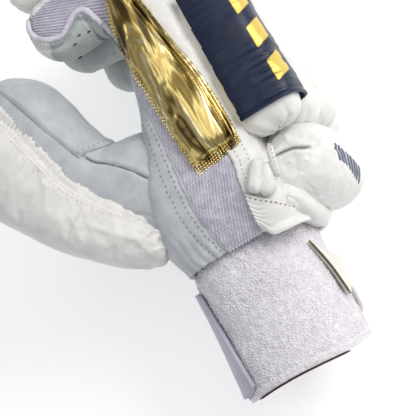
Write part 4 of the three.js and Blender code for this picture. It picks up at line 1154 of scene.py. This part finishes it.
# %% Band and strap frames
BAND_LONG, BAND_THICK, BAND_WIDE, BAND_TUCK, BAND_X, BAND_LEAN = 66, 58, 74, 9, 9, 2.75
CUFF_SLANT, CUFF_DIP, BAND_WALL, BAND_ROUND, BAND_SWELL = 11, 3, 4.5, 2.3, 4.5
BAND_Z, CUFF = MIDDLE_Z - 1.5, np.array([1.0])


def band_share(y):
    return (WRIST_Y + BAND_TUCK - y) / BAND_LONG


def band_waist(y):
    share = band_share(y)
    return 1 - 0.03 * np.sin(math.pi * np.clip(share, 0, 1)) - 0.04 * share


def swell(y, turn):
    return BAND_SWELL * (1 - ease(0, 0.55, band_share(y))) * np.maximum(np.cos(turn), 0)


def slanted(p):
    share = band_share(p[..., 1])
    down = (MIDDLE_Z + BAND_WIDE / 2 - p[..., 2]) / BAND_WIDE
    across = (p[..., 0] - BAND_X + BAND_LEAN * share) / (BAND_THICK / 2)
    shift = CUFF_SLANT * down + CUFF_DIP * np.maximum(0, 1 - across**2) * (1 - ease(0, 0.6, down))
    p = p.copy()
    p[..., 1] += shift * ease(0.15, 1, share)
    return p


def band_rings(at, grow, around):
    y = WRIST_Y + BAND_TUCK - at * BAND_LONG
    waist = band_waist(y)
    point = np.stack([BAND_X - BAND_LEAN * band_share(y), y, np.full_like(y, BAND_Z)], axis=-1)
    reach, half = BAND_THICK / 2 * waist + grow, BAND_WIDE / 2 * waist + grow
    return slanted(ovals(point, X, Z, reach, reach, half, BAND_ROUND, around))


# %% [markdown]
# The band's outer and inner sides are one grid. Small loops stand on the part that the camera sees.

# %% Towelling band, hem and loops
at = np.linspace(0.02, 1, stretch(170))
outer = band_rings(at, -1.8 * (1 - ease(0, 0.2, at)), stretch(420))
pleats = np.sin(2 * math.pi * (outer[..., 0] / 7 + noise(outer, 20, 171))) * bump(0.13, 0.1, at)[:, None]
outer[..., 0] -= swell(WRIST_Y + BAND_TUCK - at[:, None] * BAND_LONG, round_turn(outer.shape[1]))
sag = 0.9 * noise(outer * np.array([1, 0.6, 1]), 24, 172) + 0.45 * noise(outer, 9, 173)
nap = 0.3 * noise(outer, 0.9, 174) + 0.25 * noise(outer, 1.7, 175)
woven_rows = np.sin(2 * math.pi * outer[..., 1] / 1.1)
outer_towel = raised(outer, sag + nap + 0.1 * woven_rows + 0.5 * pleats)
inner = band_rings(at[::-4], -BAND_WALL, stretch(420))
grid = np.concatenate([outer_towel, inner])
# Darker colour where the band meets the hand is painted shade; a fine random speckle darkens it too.
shade_at_band_top = bump(0.1, 0.05, np.append(at, np.ones(len(inner))))[:, None]
shade_and_tone = {"shade_and_tone": np.clip(0.25 - 0.5 * noise(grid, 1.2, 176), 0, 0.7) + 0.35 * shade_at_band_top}
made = grid_object("towelling_band", grid, towel, values=shade_and_tone, middle=grid.mean(axis=(0, 1)))
belongs(made, "towelling", "wristband")
every = max(1, round(3 * FINE))
coarse = outer_towel[::every, ::every]
looped("towelling_loops", coarse, coarse[..., 2] > 28, 1.05, 7)

HEM_ROWS = 14
hem_rings = []
for share in np.linspace(0, 1, HEM_ROWS):
    ring = band_rings(CUFF, 1.2 * math.sin(math.pi * (0.25 + 0.6 * share)), stretch(360))[0]
    hem_rings.append(ring + Y * (1.2 - 4.3 * share))
inner = band_rings(CUFF, -BAND_WALL - 0.1, stretch(360))[0]
grid = np.array(hem_rings + [inner - Y * (0.2 + 3 * share) for share in (1, 0.5, 0)])
grid[:HEM_ROWS] = raised(grid[:HEM_ROWS], 0.3 * noise(grid[:HEM_ROWS], 1.5, 181) - 0.7)
shade_and_tone = {"shade_and_tone": np.full(grid.shape[:2], 0.1)}
made = grid_object("cuff_binding", grid, towel, values=shade_and_tone, middle=grid.mean(axis=(0, 1)))
belongs(made, "white_knit", "cuff_hem")
coarse = grid[:10:2, ::2]
looped("hem_loops", coarse, coarse[..., 2] > 24, 0.95, 9)
line = band_rings(CUFF, 0.9, 240)[0] - Y * 3.3
line = line[(line[:, 2] > 66) & (line[:, 0] < 30) & (line[:, 0] > -12)]
cord_piece("cuff_line", line[np.argsort(line[:, 0])], 0.45, "white_knit", red_binding)

# %% [markdown]
# One grid runs round the band; its first part is the narrow, pale tab, and the rest is the same vinyl in a darker
# lavender grey, which is painted shade.

# %% Strap and tab
STRAP_ROWS = {
    "at": [0, 0.1, 0.3, 0.5, 0.75, 1],
    "turn": [-21, -5, 34, 82, 148, 214],
    "skew": [18, 10, 0, 0, 4, 24],
    "wide": [0, -0.45, 0.25, 0.85, 1.02, 1.1],
    "drop": [1, 2.7, 2.5, 0.6, 0, 0],
}
STRAP_NARROW, STRAP_SPREAD, STRAP_WALL, TAB_END = 30, 20, 1.9, 0.3


def strap_point(at, down, out):
    angle = np.radians(curve(STRAP_ROWS, "turn", at) + curve(STRAP_ROWS, "skew", at) * down)
    long = STRAP_NARROW + STRAP_SPREAD * curve(STRAP_ROWS, "wide", at)
    y = WRIST_Y - 5 - 4 * curve(STRAP_ROWS, "drop", at) - down * long
    waist = band_waist(y)
    stand = 0.6 + out + 0.3 * down * ease(0.7, 1, at)
    x = bow(np.cos(angle), BAND_ROUND) * (BAND_THICK / 2 * waist + stand)
    x = BAND_X - BAND_LEAN * band_share(y) + x - swell(y, angle)
    z = BAND_Z - bow(np.sin(angle), BAND_ROUND) * (BAND_WIDE / 2 * waist + stand)
    return slanted(np.stack([x, y, z], axis=-1))


at, down = np.linspace(0, 1, stretch(260))[:, None], np.linspace(0, 1, stretch(50))[None]
corner = 1 - np.clip((at - 0.95) / 0.05, 0, 1) ** 2.5 * 0.12
every = at * np.ones_like(down)
grid = strap_point(every, 0.5 + (down - 0.5) * corner, STRAP_WALL)
middle = np.array([BAND_X, -65.0, MIDDLE_Z])
grid = raised(grid, 0.5 * noise(grid, 22, 191) + 0.1 * folds(grid, 8, 192), False, middle)
on_tab = (every <= TAB_END) | (np.abs(every - TAB_END) < 0.006)
# The band part takes the strap vinyl's darker copy, whose colour is painted shade.
for name, material, keep in (("strap_band", shaded_strap_vinyl, every > TAB_END), ("strap_tab", tab_vinyl, on_tab)):
    options = {"closed": False, "keep": keep, "middle": middle}
    sheet(name, grid, material, STRAP_WALL, "strap_vinyl", "wrist_strap", **options)
# The dark olive cord along the tab's end is a painted shadow where the tab stands off the band.
edge = grid[0] + np.array([-0.4, 0, 0.2])
cord_piece("tab_edge_shadow", edge, 0.55, "strap_vinyl", plain("painted tab edge shadow", "#5a563f", 0.6))
print("strap made")

# %% [markdown]
# Two small puffs sit beside the bolster, below a stitched tab.

# %% Puffs and stitched tab
PUFFS = ((0.84, -7.6, 0.965), (0.935, -10.6, 0.94))
PUFF_LONG, PUFF_THICK, PUFF_WIDE = 14.5, 6.6, 10.4
lean = math.radians(-35)
along, out = (-math.sin(lean), math.cos(lean), 0), (math.cos(lean), math.sin(lean), 0)
at = roll_places(60)
full = np.maximum(roll_full(at, 4, 2.6), 0.01)
reach, half = PUFF_THICK / 2 * full, PUFF_WIDE / 2 * full
for place, (x, y, z) in enumerate(PUFFS):
    point = np.array([PALM + x * HAND_THICK, y, z * HAND_WIDE]) + along * ((at - 0.5) * PUFF_LONG)[:, None]
    grid = ovals(point, out, Z, reach, reach, half, 2.4, stretch(70))
    tucks = bump(0, 0.12, at)[:, None] * np.abs(np.sin(3 * np.linspace(0, 2 * math.pi, grid.shape[1])))
    height = 0.7 * noise(grid, 5.5, 201 + place) - 0.3 * folds(grid * np.array([1, 0.4, 1]), 4, 203 + place)
    grid = raised(grid, height - 0.5 * tucks)
    pad(f"puff_{place + 1}", grid, white_leather, "white_leather", f"side_puff_{place + 1}")

tab_path = smooth_line([(46.0, 1.3, 97.5), (45.5, -2.5, 99.6), (44.6, -7.0, 100.2), (42.9, -12.3, 97.5)], 40)
cord_piece("bolster_tab", tab_path, 1.5, "white_leather", white_leather, 0.45, 0.12)
beside = [tab_path + np.array([shift, 0.4 * shift, 0.75]) for shift in (-1.0, 1.0)]
stitched("bolster_tab_stitches", beside, "white_leather", brown_thread, 1.7, 1.0, 0.3, 9)

# %% [markdown]
# The flap follows the surface of the hand from the knit to the back.

# %% Gathered flap
FLAP_ROWS = {
    "at": [0, 0.2, 0.45, 0.7, 1.0],
    "low_x": [0.52, 0.62, 0.8, 1.0, 1.3],
    "low_y": [0.03, -0.036, -0.046, -0.044, -0.04],
    "high_x": [0.6, 0.7, 0.86, 1.02, 1.3],
    "high_y": [0.175, 0.14, 0.095, 0.05, 0.01],
}
FLAP_STAND, FLAP_WALL = 2.6, 2.0


def hand_surface(at, x_share, grow, start=0.45):
    ring = hand_ring(at, grow)[:-1]
    edge_x = PALM + start * HAND_THICK
    corner = cut_ring(ring, edge_x, True)
    path = np.take(ring, np.arange(corner, corner - 140, -1), axis=0, mode="wrap")
    where = (x_share - start) * HAND_THICK - (path[0, 0] - edge_x)
    return at_lengths(path, np.array([where]))[0]


columns, rows = stretch(110), stretch(50)
flap = np.zeros((rows, columns, 3))
for j, a in enumerate(np.linspace(0, 1, columns)):
    low, high = (np.array([curve(FLAP_ROWS, f"{edge}_{axis}", a) for axis in "xy"]) for edge in ("low", "high"))
    for i, b in enumerate(np.linspace(0, 1, rows)):
        x, y = low + (high - low) * b
        flap[i, j] = hand_surface(y, x, FLAP_STAND)
middle = np.array([20.0, -20.0, 50.0])
a, b = np.linspace(0, 1, columns)[None], np.linspace(0, 1, rows)[:, None]
wrinkles = np.sin(2 * math.pi * (b * 7 + noise(flap, 8, 211))) * bump(0, 0.22, a)
height = 0.16 * wrinkles + 0.4 * noise(flap, 13, 212) - 0.5 * bump(0, 0.06, b)
flap = raised(flap, height, False, middle)
options = {"closed": False, "middle": middle}
sheet("back_flap_leather", flap, white_leather, FLAP_WALL, "white_leather", "back_flap", **options)
holes = flap[int(rows * 0.93), : int(columns * 0.75)] + Z * 0.18
stitched("flap_stitches", [holes], "white_leather", brown_thread, 2.1, 1.2, 0.6, 8)
print("wrist made")

# %% [markdown]
# ## Stage, light and camera
# The floor is pale and the light is soft, from the side of the glove's back. The camera looks down on
# the thumb side from the photographed angle.

# %% Floor and lights
bpy.ops.mesh.primitive_plane_add(size=6, location=(0, 0, 0))
floor = bpy.context.object
floor.name = "floor"
glow = {"Emission_Color": (1, 1, 1, 1), "Emission_Strength": 0.36}
floor.data.materials.append(plain("pale floor", "#fbfbfb", 0.7, **glow))
floor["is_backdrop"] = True


def softbox(name, place, aim, size, power, colour=(1, 1, 1)):
    data = bpy.data.lights.new(name, "AREA")
    data.shape, data.size, data.energy, data.color = "SQUARE", size, power, colour
    lamp = linked(name, data)
    lamp.location = place
    lamp.rotation_euler = (Vector(aim) - Vector(place)).to_track_quat("-Z", "Y").to_euler()


softbox("key", (0.9, 0.15, 0.75), (0, 0, 0.05), 0.6, 8.0, (1, 0.985, 0.96))
softbox("top", (0.2, 0.2, 1.3), (0, 0, 0), 1.0, 3.4)
softbox("fill", (-0.8, -0.5, 0.6), (0, 0, 0.05), 1.0, 1.2, (0.93, 0.95, 1))
world = bpy.data.worlds.new("studio")
bpy.context.scene.world = world
world.use_nodes = True
sky = world.node_tree.nodes["Background"].inputs
sky["Color"].default_value, sky["Strength"].default_value = (0.96, 0.97, 1.0, 1), 0.36
bpy.context.scene.view_settings.view_transform = "Standard"
print("lights:", len(bpy.data.lights))

# %% [markdown]
# The camera's distance and scale are those that the part was measured with.

# %% Camera
CAMERA_DISTANCE, PIXEL_MM, PICTURE_PIXELS, SENSOR = 705.0, 0.43, 416, 36
toward = np.array([0.27, -0.20, 1.0])
toward /= np.linalg.norm(toward)
level = Y - (Y @ toward) * toward
level /= np.linalg.norm(level)
aside = np.cross(toward, level)


def rolled(degrees):
    return math.cos(math.radians(degrees)) * level + math.sin(math.radians(degrees)) * aside


camera_data = bpy.data.cameras.new("camera")
camera_data.sensor_width = SENSOR
camera_data.lens = SENSOR * CAMERA_DISTANCE / PIXEL_MM / PICTURE_PIXELS
camera_data.clip_end = 20
camera = linked("camera", camera_data)
spot = (np.array([0, 0, 55]) + toward * CAMERA_DISTANCE + ORIGIN) / 1000
right, up = rolled(-118), rolled(-28)
camera.matrix_world = Matrix([[right[k], up[k], toward[k], spot[k]] for k in range(3)] + [[0, 0, 0, 1]])
bpy.context.scene.camera = camera
print("camera lens mm:", round(camera_data.lens, 1))

# %% [markdown]
# The box round every rendered object, the floor left out, is worked out.

# %% Sizes and the end
low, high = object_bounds()
